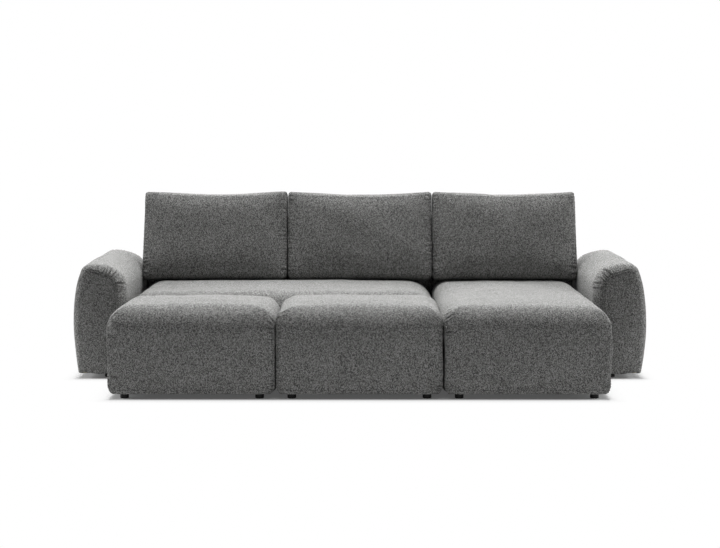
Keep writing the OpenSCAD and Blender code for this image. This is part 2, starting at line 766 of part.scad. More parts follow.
module bench_back_frame() color(timber) difference() {
    at_bench_back() back_frame(bench_w);
    bolt_holes();
    nut_recesses();
}
module bench_back_foam() color(foam_yellow) difference() {
    at_bench_back() back_foam(bench_w);
    bolt_holes();
}
module bench_back_cover() color(fabric) difference() {
    at_bench_back() back_cover(bench_w);
    bolt_holes();
}
module bench_back_dust_cover() color(fleece) at_bench_back() back_dust_cover(bench_w);
module chaise_back_frame() color(timber) difference() {
    at_chaise_back() back_frame(module_w);
    bolt_holes();
    nut_recesses();
}
module chaise_back_foam() color(foam_yellow) difference() {
    at_chaise_back() back_foam(module_w);
    bolt_holes();
}
module chaise_back_cover() color(fabric) difference() {
    at_chaise_back() back_cover(module_w);
    bolt_holes();
}
module chaise_back_dust_cover() color(fleece) at_chaise_back() back_dust_cover(module_w);

// A bolt's head bears on the seat's rear board, and its nut lies in the back frame's lower rail
module back_bolts() color(zinc) at_back_bolts() {
    length = stud_back_y - bolt_front_y;
    translate([0, 0, -bolt_head_h]) cylinder(d = bolt_head_d, h = bolt_head_h);
    cylinder(d = bolt_d, h = length - bolt_head_h);
    translate([0, 0, length - bolt_head_h]) cylinder(d = bolt_head_d, h = bolt_head_h);
}
module tie_plates() color(zinc) difference() {
    at_tie_plates() slab(2 * (tie_reach + tie_rim), tie_l, 0, tie_t);
    tie_screw_holes();
}
module tie_plate_screws() color(zinc) at_tie_screws() {
    translate([0, 0, -tie_head_h]) cylinder(d = tie_head_d, h = tie_head_h);
    cylinder(d = tie_screw_d, h = tie_t + tie_bite);
}
module sofa_foot_screws() color(zinc) {
    at_bench() at_each(seat_feet(bench_w, bench_d)) foot_screw();
    at_chaise() at_each(seat_feet(module_w, chaise_d)) foot_screw();
    at_left_arm() at_each(arm_feet()) foot_screw();
    at_right_arm() at_each(arm_feet()) foot_screw();
}

module footrest_frame() difference() {
    seat_frame(module_w, footrest_d);
    at_each(seat_feet(module_w, footrest_d)) foot_screw_hole();
}
module footrest_dust_cover() difference() {
    seat_dust_cover(module_w, footrest_d);
    at_each(seat_feet(module_w, footrest_d)) foot_screw_hole();
}
module left_footrest_frame() color(timber) at_left_footrest() footrest_frame();
module left_footrest_webbing() color(elastic)
    at_left_footrest() seat_webbing(module_w, footrest_d);
module left_footrest_foam() color(foam_yellow)
    at_left_footrest() seat_foam(module_w, footrest_d);
module left_footrest_cover() color(fabric) at_left_footrest() seat_cover(module_w, footrest_d);
module left_footrest_dust_cover() color(fleece) at_left_footrest() footrest_dust_cover();
module left_footrest_feet() color(black_plastic)
    at_left_footrest() at_each(seat_feet(module_w, footrest_d)) foot();
module left_footrest_foot_screws() color(zinc)
    at_left_footrest() at_each(seat_feet(module_w, footrest_d)) foot_screw();
module right_footrest_frame() color(timber) at_right_footrest() footrest_frame();
module right_footrest_webbing() color(elastic)
    at_right_footrest() seat_webbing(module_w, footrest_d);
module right_footrest_foam() color(foam_yellow)
    at_right_footrest() seat_foam(module_w, footrest_d);
module right_footrest_cover() color(fabric)
    at_right_footrest() seat_cover(module_w, footrest_d);
module right_footrest_dust_cover() color(fleece) at_right_footrest() footrest_dust_cover();
module right_footrest_feet() color(black_plastic)
    at_right_footrest() at_each(seat_feet(module_w, footrest_d)) foot();
module right_footrest_foot_screws() color(zinc)
    at_right_footrest() at_each(seat_feet(module_w, footrest_d)) foot_screw();

module left_back_cushion_cover() color(fabric) at_cushion(-1) cushion_cover();
module left_back_cushion_core() color(foam_yellow) at_cushion(-1) cushion_filling(0);
module left_back_cushion_zip() color(black_plastic) at_cushion(-1) cushion_zip();
module middle_back_cushion_cover() color(fabric) at_cushion(0) cushion_cover();
module middle_back_cushion_core() color(foam_yellow) at_cushion(0) cushion_filling(0);
module middle_back_cushion_zip() color(black_plastic) at_cushion(0) cushion_zip();
module right_back_cushion_cover() color(fabric) at_cushion(1) cushion_cover();
module right_back_cushion_core() color(foam_yellow) at_cushion(1) cushion_filling(0);
module right_back_cushion_zip() color(black_plastic) at_cushion(1) cushion_zip();

bench_frame();
bench_webbing();
bench_foam();
bench_cover();
bench_dust_cover();
bench_feet();
chaise_frame();
chaise_webbing();
chaise_foam();
chaise_cover();
chaise_dust_cover();
chaise_feet();
left_arm_frame();
left_arm_foam();
left_arm_cover();
left_arm_dust_cover();
left_arm_feet();
right_arm_frame();
right_arm_foam();
right_arm_cover();
right_arm_dust_cover();
right_arm_feet();
bench_back_frame();
bench_back_foam();
bench_back_cover();
bench_back_dust_cover();
chaise_back_frame();
chaise_back_foam();
chaise_back_cover();
chaise_back_dust_cover();
back_bolts();
tie_plates();
tie_plate_screws();
sofa_foot_screws();
left_footrest_frame();
left_footrest_webbing();
left_footrest_foam();
left_footrest_cover();
left_footrest_dust_cover();
left_footrest_feet();
left_footrest_foot_screws();
right_footrest_frame();
right_footrest_webbing();
right_footrest_foam();
right_footrest_cover();
right_footrest_dust_cover();
right_footrest_feet();
right_footrest_foot_screws();
left_back_cushion_cover();
left_back_cushion_core();
left_back_cushion_zip();
middle_back_cushion_cover();
middle_back_cushion_core();
middle_back_cushion_zip();
right_back_cushion_cover();
right_back_cushion_core();
right_back_cushion_zip();
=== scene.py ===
import math

import bpy
import numpy as np
from bpy.props import FloatProperty, FloatVectorProperty, IntProperty, PointerProperty
from mathutils import Matrix, Vector
from mathutils.kdtree import KDTree


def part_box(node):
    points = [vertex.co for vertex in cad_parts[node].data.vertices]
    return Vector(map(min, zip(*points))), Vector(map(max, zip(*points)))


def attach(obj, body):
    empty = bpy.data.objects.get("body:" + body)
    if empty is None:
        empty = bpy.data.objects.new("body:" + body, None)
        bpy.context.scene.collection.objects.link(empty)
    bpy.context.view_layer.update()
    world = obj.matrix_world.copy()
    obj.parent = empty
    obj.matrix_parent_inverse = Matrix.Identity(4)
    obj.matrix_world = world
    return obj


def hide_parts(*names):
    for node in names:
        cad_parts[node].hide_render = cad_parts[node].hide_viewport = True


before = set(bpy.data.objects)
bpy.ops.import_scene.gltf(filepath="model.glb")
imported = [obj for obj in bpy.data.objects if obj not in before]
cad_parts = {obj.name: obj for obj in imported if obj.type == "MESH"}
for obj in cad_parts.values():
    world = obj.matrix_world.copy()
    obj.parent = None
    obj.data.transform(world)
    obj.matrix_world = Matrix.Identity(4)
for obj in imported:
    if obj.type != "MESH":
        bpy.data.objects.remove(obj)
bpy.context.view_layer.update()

bl_info = {
    "name": "Sofa bed with chaise",
    "version": (1, 0, 0),
    "blender": (4, 5, 0),
    "location": "3D View > Sidebar > Sofa bed",
    "description": "Upholstery, materials and studio for a sofa bed with a chaise",
    "category": "Object",
}

CLOTH = "heathered_upholstery"


# Sizes and colours

def size(name, description, default, low=0.0, high=2.0):
    """A length that the sidebar shows."""
    return FloatProperty(name=name, description=description, default=default, min=low, max=high,
                         unit="LENGTH", subtype="DISTANCE", precision=4)


def share(name, description, default, high=1.0):
    """A plain factor that the sidebar shows."""
    return FloatProperty(name=name, description=description, default=default, min=0, max=high)


def colour(name, description, default):
    return FloatVectorProperty(name=name, description=description, default=default, size=3,
                               min=0, max=1, subtype="COLOR")


def power(name, description, default):
    """A lamp's power that the sidebar shows."""
    return FloatProperty(name=name, description=description, default=default, min=0,
                         unit="POWER")


def angle(name, description, degrees, low=-0.5):
    """An angle that the sidebar shows."""
    return FloatProperty(name=name, description=description, default=math.radians(degrees),
                         min=low, max=0.5, subtype="ANGLE")


class SeatSizes(bpy.types.PropertyGroup):
    edge_r: size("Top edge rounding", "Rounding of the seats' top edges, front and rear", 0.118)
    outer_edge_r: size("Outer edge rounding", "The same at the outer sides", 0.100)
    inner_edge_r: size("Inner edge rounding", "The same beside another seat's front", 0.082)
    bench_edge_r: size("Bench edge rounding", "The same at both sides of the bench", 0.126)
    corner_r: size("Corner rounding", "Rounding of the seats' upright corners", 0.015)
    shoulder_r: size("Shoulder rounding", "The same at the top edge", 0.048)
    hem_r: size("Hem rounding", "Rounding of a cover's bottom edge", 0.008)
    hem_corner_r: size("Hem corner rounding", "Rounding of the bottom edge at the corners", 0.044)
    swell: size("Swell", "How far the sides swell out between the corners", 0.006)
    crown: size("Crown", "How far the top swells up in the middle", 0.016)
    hem_turn: size("Turned-in hem", "How far the cover runs in below the frame", 0.024)


class BackSizes(bpy.types.PropertyGroup):
    edge_r: size("Top edge rounding", "Rounding of the back panels' top edges", 0.045)
    corner_r: size("Corner rounding", "Rounding of the back panels' upright corners", 0.030)
    swell: size("Swell", "How far the sides swell out between the corners", 0.004)
    crown: size("Crown", "How far the top swells up in the middle", 0.004)
    shoulder_r: size("Shoulder rounding", "Rounding of the upper corners", 0.030)


class ArmSizes(bpy.types.PropertyGroup):
    belly_r: size("Belly radius", "Radius of the swelling outer side", 1.250)
    belly_z: size("Belly height", "Height at which the arm is widest", 0.270)
    crown_r: size("Crown radius", "Radius of the top across the arm", 0.264)
    crown_x: size("Crown place", "Distance of the highest line from the seat", 0.175)
    inner_r: size("Inner edge rounding", "Rounding of the top edge beside the seat", 0.115)
    outer_r: size("Outer edge rounding", "Rounding of the top edge on the outside", 0.046)
    end_r: size("End rounding", "Rounding from the boxing to the front panel", 0.070)
    end_outer_r: size("Outer end rounding", "The same on the arm's outer side", 0.040)
    end_swell: size("End swell", "How far the front and rear panels swell out", 0.007)
    shoulder_drop: size("Shoulder drop", "How far the front draws the outer top edge down", 0.012)
    drop_reach: size("Drop reach", "How far behind the front that ends", 0.420)


class CushionSizes(bpy.types.PropertyGroup):
    height: size("Height", "Height of a back cushion at its corners", 0.490)
    middle_t: size("Thickness", "Thickness in the middle", 0.190)
    side_t: size("Side thickness", "Thickness at the sides", 0.124)
    edge_r: size("Edge rounding", "Rounding along the upper and lower edges", 0.024)
    seam_r: size("Seam rounding", "Rounding beside the seams along the sides", 0.012)
    corner_r: size("Lower corner rounding", "Rounding of the lower corners", 0.030)
    top_corner_r: size("Upper corner rounding", "Rounding of the upper corners", 0.020)
    dip: size("Dip", "How far the top edge dips between the corners", 0.019)
    draw: size("Draw", "How far the seams draw in between the boxing's swell", 0.0035)
    settled: size("Settling", "How far the front swells out near the lower edge", 0.004)
    low_r: size("Lower edge rounding", "How much rounder the front's lower edge is", 0.014)
    flare: size("Flare", "How much wider the row of cushions grows towards its lower corners",
                0.007)
    lean: angle("Lean", "Backward lean", 12, 0)


class SewingSizes(bpy.types.PropertyGroup):
    welt_h: size("Welt height", "Height of the narrow welt along a seam", 0.0021)
    welt_r: size("Welt width", "Half the width of that welt", 0.0017)
    fold_depth: size("Fold depth", "Depth of the deepest gathers beside a seam", 0.0060)
    crease_depth: size("Crease depth", "Depth of the creases at a seat's front corners", 0.0050)
    crease_w: size("Crease width", "Half the width of those creases", 0.0045)
    hem_h: size("Hem height", "Height of the hem's seam above a cover's lower edge", 0.0190)
    unevenness: size("Unevenness", "Height of the filling's soft unevenness", 0.0026)
    slack: size("Slack", "How much smaller a cover starts before its filling swells", 0.003)
    fullness: share("Fullness", "How much longer the fabric is than the filling's skin", 0.003)
    pressure: share("Pressure", "Pressure of the filling", 1.5, 20)
    frames: IntProperty(name="Steps", description="Steps of the cloth simulation", default=10,
                        min=1, max=60)
    most_in: size("Most inward", "How far the fabric may sink in at most", 0.002)
    mesh_fine: size("Fine mesh", "Mesh spacing beside seams", 0.0035)
    mesh_coarse: size("Coarse mesh", "Mesh spacing on plain areas", 0.014)


class FinishSizes(bpy.types.PropertyGroup):
    fabric_dark: colour("Dark yarn", "Colour of the upholstery's dark yarn", (0.078, 0.078, 0.076))
    fabric_light: colour("Light yarn", "Colour of its light yarn", (0.362, 0.362, 0.354))
    sheen: share("Sheen", "Sheen of the upholstery's pile", 0.12)
    fleece: colour("Fleece", "Colour of the dust covers", (0.012, 0.012, 0.013))
    plastic: colour("Foot plastic", "Colour of the feet", (0.006, 0.006, 0.006))


class StudioSizes(bpy.types.PropertyGroup):
    camera_y: size("Camera distance", "Distance of the camera in front of the origin", 8.2577,
                   1, 20)
    camera_x: size("Camera offset", "Distance of the camera from the middle", 0.0156)
    camera_z: size("Camera height", "Height of the camera above the floor", 1.2848)
    camera_lens: FloatProperty(name="Focal length", description="Focal length in mm on a 36 mm "
                               "sensor", default=79.605, min=10, max=300)
    camera_pitch: angle("Pitch", "How far the camera looks down", 5.239)
    camera_yaw: angle("Yaw", "How far the camera turns to the left", 0.097)
    top_light: power("Top light", "Power of the softbox overhead", 512)
    rear_light: power("Rear light", "Power of the softbox high behind", 360)
    front_light: power("Front light", "Power of the softbox in front", 33)
    side_light: power("Side light", "Power of each softbox at the sides", 260)
    room_light: share("Room light", "Strength of the light from all round", 0.03, 2)


GROUPS = {"seats": SeatSizes, "backs": BackSizes, "arms": ArmSizes, "cushions": CushionSizes,
          "sewing": SewingSizes, "finish": FinishSizes, "studio": StudioSizes}


class SofaBedSizes(bpy.types.PropertyGroup):
    __annotations__ = {name: PointerProperty(type=group) for name, group in GROUPS.items()}


# Shaders

class Value:
    """A socket that gives a number, and that adds, multiplies and so on like one."""

    def __init__(self, shader, socket):
        self.shader, self.socket = shader, socket

    def _with(self, operation, *others):
        return self.shader.node("Math", {"operation": operation}, self, *others)

    def __add__(self, other): return self._with("ADD", other)
    def __sub__(self, other): return self._with("SUBTRACT", other)
    def __rsub__(self, other): return self.shader.node("Math", {"operation": "SUBTRACT"},
                                                       other, self)
    def __mul__(self, other): return self._with("MULTIPLY", other)
    def size(self): return self._with("ABSOLUTE")
    def larger(self, other): return self._with("MAXIMUM", other)
    def smaller(self, other): return self._with("MINIMUM", other)
    __radd__, __rmul__ = __add__, __mul__

    def eased(self, low, high):
        """0 below low, 1 above high, and a soft step between."""
        return self.shader.node("MapRange", {"interpolation_type": "SMOOTHSTEP"},
                                self, low, high)


class Shader:
    """A material or world whose nodes are added by one method."""

    def __init__(self, owner):
        owner.use_nodes = True
        self.owner, self.nodes, self.links = owner, owner.node_tree.nodes, owner.node_tree.links
        self.nodes.clear()

    def node(self, kind, settings=None, *inputs, out=0, **named):
        """Adds a node, whose type is ShaderNode and kind. Its settings come first, then its
        sockets by place or by name, each a Value to link or a plain value."""
        node = self.nodes.new("ShaderNode" + kind)
        for key, value in (settings or {}).items():
            setattr(node, key, value)
        for key, value in list(enumerate(inputs)) + [(k.replace("_", " "), v)
                                                     for k, v in named.items()]:
            if isinstance(value, Value):
                self.links.new(value.socket, node.inputs[key])
            elif value is not None:
                node.inputs[key].default_value = value
        return Value(self, node.outputs[out]) if len(node.outputs) else node

    def place(self):
        """Where a point lies in its piece, in metres."""
        return self.node("TexCoord", out="Object")

    def part(self, place, axis):
        return self.node("SeparateXYZ", None, place, out=axis)

    def stretched(self, place, x, y, z):
        return self.node("VectorMath", {"operation": "MULTIPLY"}, place, (x, y, z))

    def noise(self, place, scale, detail=2.0, roughness=0.5):
        return self.node("TexNoise", Vector=place, Scale=scale, Detail=detail,
                         Roughness=roughness)

    def flecks(self, place, x, y, z):
        """A random value for each yarn end: x, y and z of them to a metre."""
        at = self.stretched(place, x, y, z)
        bent = self.node("VectorMath", {"operation": "ADD"}, at,
                         self.node("TexNoise", Vector=at, Scale=0.6, out=1))
        whole = self.node("VectorMath", {"operation": "FLOOR"}, bent)
        return self.node("TexWhiteNoise", Vector=whole)

    def mixed(self, factor, a, b):
        """Colour a where factor is 0, and b where it is 1."""
        return self.node("Mix", {"data_type": "RGBA"}, factor, *[None] * 5, (*a[:3], 1),
                         (*b[:3], 1), out=2)

    def bumped(self, height, depth, strength=1.0):
        return self.node("Bump", Strength=strength, Distance=depth, Height=height)

    def finish(self, surface):
        kind = "World" if isinstance(self.owner, bpy.types.World) else "Material"
        self.node("Output" + kind, None, surface)
        return self.owner


def new_shader(name):
    return Shader(bpy.data.materials.new(name))


def upholstery(finish):
    """Heathered woven upholstery: dark and light yarn in fine tufts, with a soft sheen."""
    s = new_shader(CLOTH)
    place = s.place()
    tufts_to_metre, clouds_to_metre = 390, 7
    tufts, cloudy = s.noise(place, tufts_to_metre, 1.0, 0.6), s.noise(place, clouds_to_metre)
    # Yarn ends of about 2.5 mm by 4 to 7 mm, along each of the three directions
    across = s.flecks(place, 260, 400, 400)
    along = s.flecks(place, 360, 360, 220)
    depthwise = s.flecks(place, 400, 150, 400)
    tuft_contrast, fleck_contrast, upright_contrast, cloud_contrast = 1.5, 0.4, 1.2, 0.15
    light_share, nap_depth = 0.42, 0.0014
    heather = (tufts - 0.5) * tuft_contrast + (across + depthwise - 1) * fleck_contrast \
        + (along - 0.5) * upright_contrast
    light = (heather + (cloudy - 0.5) * cloud_contrast + light_share).eased(0.0, 1.0)
    nap = tufts * 0.6 + (across + along) * 0.4
    surface = s.node("BsdfPrincipled",
                     Base_Color=s.mixed(light, finish.fabric_dark, finish.fabric_light),
                     Roughness=0.78 + cloudy * 0.2, Normal=s.bumped(nap, nap_depth, 0.6),
                     Specular_IOR_Level=0.15, Sheen_Weight=finish.sheen, Sheen_Roughness=0.4,
                     Sheen_Tint=(1, 1, 0.99, 1))
    return s.finish(surface)


def plain(name, base, roughness, scale, spread=0.25, depth=0.0004, metallic=0.0,
          stretch=(1, 1, 1)):
    """A finish with fine variation in colour, gloss and height."""
    s = new_shader(name)
    grain = s.noise(s.stretched(s.place(), *stretch), scale, 3.0, 0.6)
    dark, light = ([min(c * (1 + way * spread), 1) for c in base] for way in (-1, 1))
    gloss_spread = 0.2
    surface = s.node("BsdfPrincipled",
                     Base_Color=s.mixed(grain.eased(0.25, 0.75), dark, light), Metallic=metallic,
                     Roughness=grain * gloss_spread + (roughness - gloss_spread / 2),
                     Normal=s.bumped(grain, depth, 0.7), Specular_IOR_Level=0.2)
    return s.finish(surface)


# Forms

SAME = 1e-5             # two places closer than this are one
COVER_GAP = 0.0004      # between an arm's inner side and its CAD cover
SEAM_STEP = 0.003       # between the points of a seam
SEAM_LEVEL = 0.89       # height of a block's seam below the top, in roundings of the edge
FLAT_GATHERS = 0.1      # share of the gathers on the side of a seam that lies flat


def eased(a, b, r):
    """Distance outside a body with two faces, from the distances outside each of them, where
    their edge is rounded to the radius r."""
    return np.minimum(np.maximum(a, b), -r) + np.hypot(np.maximum(a + r, 0),
                                                       np.maximum(b + r, 0))


def bulge(t, power):
    """1 in the middle, 0 where t is 1 or -1. The higher the power, the flatter the middle."""
    return 1 - np.minimum(np.abs(t), 1) ** power


def blend(a, b, t):
    """a where t is 0, b where it is 1, and a soft step between."""
    return a + (b - a) * t ** 2 * (3 - 2 * t)


def ridge(d, at, wide):
    """1 where the distance d is at, and falling softly over the width."""
    return np.exp(-((d - at) / wide) ** 2)


def furrow(t, lip, lip_at):
    """A furrow's section, 1 deep where t is 0, with a soft lip on both sides."""
    return lip * ridge(np.abs(t), lip_at, 1) - ridge(t, 0, 1)


def spaced(length, edge, fine, coarse, first=0.0, finest=0.002):
    """Places of mesh lines along a side: from each end the finest spacing over the first
    length, then fine up to the edge's width, and coarse between."""
    near = np.linspace(first, edge, max(2, round((edge - first) / fine)) + 1)
    near = np.concatenate([np.arange(0, first, finest), near])
    middle = np.linspace(edge, length - edge, max(2, round((length - 2 * edge) / coarse)) + 1)
    return np.unique(np.round(np.concatenate([near, middle, length - near]), 6))


def box_skin(lines, rim=None):
    """The surface of a box cut by lines along x, y and z: points and quads. With rim, the lowest
    face is open but for a rim of that width."""
    n = [len(line) for line in lines]
    quads = []
    for axis in range(3):
        b, c = (axis + 1) % 3, (axis + 2) % 3
        whole = [g.ravel() for g in np.meshgrid(np.arange(n[b] - 1), np.arange(n[c] - 1),
                                                indexing="ij")]
        for high in (0, 1):
            ib, ic = whole
            if axis == 2 and not high and rim is not None:
                mb, mc = ((lines[d][i] + lines[d][i + 1]) / 2 for d, i in ((b, ib), (c, ic)))
                near = np.minimum(np.minimum(mb - lines[b][0], lines[b][-1] - mb),
                                  np.minimum(mc - lines[c][0], lines[c][-1] - mc)) < rim
                ib, ic = ib[near], ic[near]
            corners = []
            for db, dc in ((0, 0), (1, 0), (1, 1), (0, 1)):
                at = [None] * 3
                at[axis] = np.full(len(ib), (n[axis] - 1) * high)
                at[b], at[c] = ib + db, ic + dc
                corners.append((at[0] * n[1] + at[1]) * n[2] + at[2])
            quads.append(np.stack(corners if high else corners[::-1], 1))
    keys, faces = np.unique(np.concatenate(quads), return_inverse=True)
    where = np.stack([keys // (n[1] * n[2]), keys // n[2] % n[1], keys % n[2]], 1)
    points = np.stack([lines[d][where[:, d]] for d in range(3)], 1)
    return points, faces.reshape(-1, 4).tolist()


def wrapped(points, low, high, outside, farthest=0.6, halvings=26):
    """Moves points of a box's surface straight out from its inner box, between low and high, to
    where outside is 0."""
    core = np.clip(points, low, high)
    ray = points - core
    ray /= np.linalg.norm(ray, axis=1)[:, None]
    near, far = np.zeros(len(points)), np.full(len(points), farthest)
    for _ in range(halvings):
        middle = (near + far) / 2
        out = outside(core + ray * middle[:, None]) > 0
        far, near = np.where(out, middle, far), np.where(out, near, middle)
    return core + ray * near[:, None]


def normals(points, outside, step=0.0006):
    """Unit vectors straight out of a surface where outside is 0."""
    n = np.stack([outside(points + step * e) - outside(points - step * e)
                  for e in np.eye(3)], 1)
    return n / np.linalg.norm(n, axis=1)[:, None]


def softly(points, scale, seed, waves=7, peak=3.2):
    """Smooth noise, about -1 to 1, from a few waves of random directions and lengths."""
    rng = np.random.default_rng(seed)
    total = np.zeros(len(points))
    for _ in range(waves):
        wave = rng.normal(size=3)
        wave /= np.linalg.norm(wave) * scale * rng.uniform(0.6, 1.8)
        total += np.sin(points @ wave * 2 * np.pi + rng.uniform(0, 2 * np.pi))
    return total / peak


def straight_out(mesh):
    """Unit vectors straight out of a mesh at its points."""
    out = np.empty(3 * len(mesh.vertices))
    mesh.vertex_normals.foreach_get("vector", out)
    return out.reshape(-1, 3)


def placed(name, data):
    """A new object in the scene."""
    made = bpy.data.objects.new(name, data)
    bpy.context.scene.collection.objects.link(made)
    return made


def nearby(points):
    """A tree that finds the nearest of some points."""
    tree = KDTree(len(points))
    for i, p in enumerate(points):
        tree.insert(p, i)
    tree.balance()
    return tree


class Seam:
    """A sewn line: its points, how long the way to each of them is, and its gathers, which lie
    about a pitch apart and are long at a right angle to the seam."""
    # Least and most of each gather's distance, depth, length and width, as shares of the usual
    APART, DEEP, LONG, WIDE = (0.6, 1.5), (0.25, 1), (0.5, 1.3), (0.17, 0.28)
    SLANT = 0.16

    def __init__(self, points, strength=1.0, seed=1, depth=1.0, pitch=0.012, long=0.026):
        apart = np.linalg.norm(np.diff(points, axis=0), axis=1) > SAME
        kept = np.concatenate([[True], apart])
        self.strength, self.depth = ((np.ones(len(kept)) * v)[kept] for v in (strength, depth))
        self.points, self.pitch, self.long, self.seed = points[kept], pitch, long, seed
        steps = np.linalg.norm(np.diff(self.points, axis=0), axis=1)
        self.run = np.concatenate([[0], np.cumsum(steps)])
        self.way = np.gradient(self.points, self.run, axis=0)
        turn = np.linalg.norm(np.gradient(self.way, self.run, axis=0), axis=1)
        # How tightly the seam turns, up to 1 where its radius is tight_r or less
        tight_r, spread = 0.1, 15
        window = np.hanning(2 * spread + 1)
        turn = np.convolve(np.pad(turn, spread, mode="edge"), window / window.sum(), "valid")
        self.bend = np.clip(turn * tight_r, 0, 1)

    def folds(self, run, d):
        """How deep the gathers are, run along the seam and d away from it: furrows, each with
        its own depth, length, width and slant, which are stronger where the seam turns."""
        rng = np.random.default_rng(self.seed)
        at = np.cumsum(self.pitch * rng.uniform(*self.APART,
                                                int(self.run[-1] / self.pitch * 2)))
        at = at[at < self.run[-1]]
        n = len(at)
        bend = np.interp(at, self.run, self.bend)
        deep = rng.uniform(*self.DEEP, n) ** 1.3 * np.interp(at, self.run, self.strength) \
            * (0.6 + 0.6 * bend)
        long = self.long * rng.uniform(*self.LONG, n) * (0.8 + 0.8 * bend)
        wide = self.pitch * rng.uniform(*self.WIDE, n)
        slant = rng.normal(0, self.SLANT, n)
        fold = np.zeros(len(run))
        first = np.searchsorted(at, run)
        neighbours = 3
        for offset in range(-neighbours, neighbours):
            k = np.clip(first + offset, 0, n - 1)
            real = (first + offset >= 0) & (first + offset < n)
            t = (run - at[k] - slant[k] * d) / wide[k]
            fold += real * deep[k] * furrow(t, 0.4, 1.8) * ridge(d, 0, long[k])
        return fold


def sewn(points, seams, sewing, gathered=None):
    """How far each point moves along its normal because of the seams and the gathers beside
    them. gathered is each point's share of the gathers."""
    tree = nearby(np.concatenate([s.points for s in seams]))
    which = np.repeat(np.arange(len(seams)), [len(s.points) for s in seams])
    index = np.concatenate([np.arange(len(s.points)) for s in seams])
    found = [tree.find(p) for p in points]
    nearest, away = np.array([f[1] for f in found]), np.array([f[2] for f in found])
    move = np.zeros(len(points))
    for number, seam in enumerate(seams):
        mine = which[nearest] == number
        i = index[nearest[mine]]
        way = seam.way[i] / np.linalg.norm(seam.way[i], axis=1)[:, None]
        along = ((points[mine] - seam.points[i]) * way).sum(1)
        d = np.sqrt(np.maximum(away[mine] ** 2 - along ** 2, 0))
        # A narrow raised welt, a groove on both sides of it and a soft swell behind each
        w, groove, swell = sewing.welt_r, 0.8, 0.3
        welt = ridge(d, 0, w) - groove * ridge(d, 2.3 * w, w) + swell * ridge(d, 5 * w, 1.6 * w)
        # The stitches hold the gathers down close to the seam
        held, held_within = 0.6, 0.004
        gathers = sewing.fold_depth * seam.folds(seam.run[i] + along, d) \
            * (1 - held * ridge(d, 0, held_within))
        if gathered is not None:
            gathers *= gathered[mine]
        move[mine] = sewing.welt_h * seam.depth[i] * welt + gathers
    return move


def creased(points, creases, depth, wide, reach=0.03):
    """How far each point moves because of creases, each given by its path and its share of the
    depth, deepest a third of the way and with a soft lip on both sides."""
    move = np.zeros(len(points))
    for path, part in creases:
        near = np.all((points > path.min(0) - reach) & (points < path.max(0) + reach), axis=1)
        gap = np.linalg.norm(points[near][:, None] - path[None], axis=2)
        along = gap.argmin(1) / (len(path) - 1)
        taper = np.interp(along, [0, 0.3, 1], [0.55, 1, 0])
        move[near] += depth * part * taper * furrow(gap.min(1) / wide, 0.45, 1.9)
    return move


def filled(points, form, seams, sewing, most_out, held_within=0.00675, most_aside=0.0015):
    """Where points of a closed cover come to lie when its filling presses the fabric out between
    the seams: a cloth simulation on an even mesh of the same form, given by its points and
    faces, which starts a little smaller. most_out is how far each of its points may move out."""
    scene = bpy.context.scene
    at, faces = form
    shape = bpy.data.meshes.new("settling")
    shape.from_pydata(at.tolist(), [], faces)
    cloth, out = placed("settling", shape), straight_out(shape)
    shape.vertices.foreach_set("co", (at - out * sewing.slack).ravel())
    seam = nearby(np.concatenate([s.points for s in seams]))
    held = [i for i, p in enumerate(at) if seam.find(p)[2] < held_within]
    cloth.vertex_groups.new(name="seams").add(held, 1.0, "REPLACE")
    sim = cloth.modifiers.new("cloth", "CLOTH")
    fabric = dict(vertex_group_mass="seams", quality=4, mass=0.3, tension_stiffness=15,
                  compression_stiffness=15, shear_stiffness=5, bending_stiffness=0.2,
                  use_pressure=True, uniform_pressure_force=sewing.pressure,
                  shrink_min=-sewing.fullness)
    for key, value in fabric.items():
        setattr(sim.settings, key, value)
    sim.settings.effector_weights.gravity = 0
    sim.collision_settings.use_collision = False
    sim.point_cache.frame_start, sim.point_cache.frame_end = 1, sewing.frames
    for number in range(1, sewing.frames + 1):
        scene.frame_set(number)
    done = np.empty(at.size)
    cloth.evaluated_get(bpy.context.evaluated_depsgraph_get()).data.vertices.foreach_get(
        "co", done)
    bpy.data.objects.remove(cloth)
    bpy.data.meshes.remove(shape)
    scene.frame_set(1)
    move = done.reshape(-1, 3) - at
    outward = (move * out).sum(1)
    aside = move - out * outward[:, None]
    aside *= np.minimum(1, most_aside / np.maximum(np.linalg.norm(aside, axis=1), 1e-9))[:, None]
    outward = np.maximum(most_out * np.tanh(outward / (3 * most_out)), -sewing.most_in)
    move = aside + out * outward[:, None]
    # Each point follows the five nearest of the even mesh
    around = nearby(at)
    moved = np.empty_like(points)
    for i, p in enumerate(points):
        found = around.find_n(p, 5)
        weight = np.array([1 / (f[2] + 0.001) ** 2 for f in found])
        moved[i] = weight @ move[[f[1] for f in found]] / weight.sum()
    return points + moved


def piece(name, points, faces, body):
    """A new padded piece of upholstery that stands for the CAD cover of that name."""
    mesh = bpy.data.meshes.new(name + "_upholstery")
    mesh.from_pydata(points.tolist(), [], faces)
    mesh.shade_smooth()
    mesh.materials.append(bpy.data.materials[CLOTH])
    made = placed(name + "_upholstery", mesh)
    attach(made, body)
    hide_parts(name + "_cover")


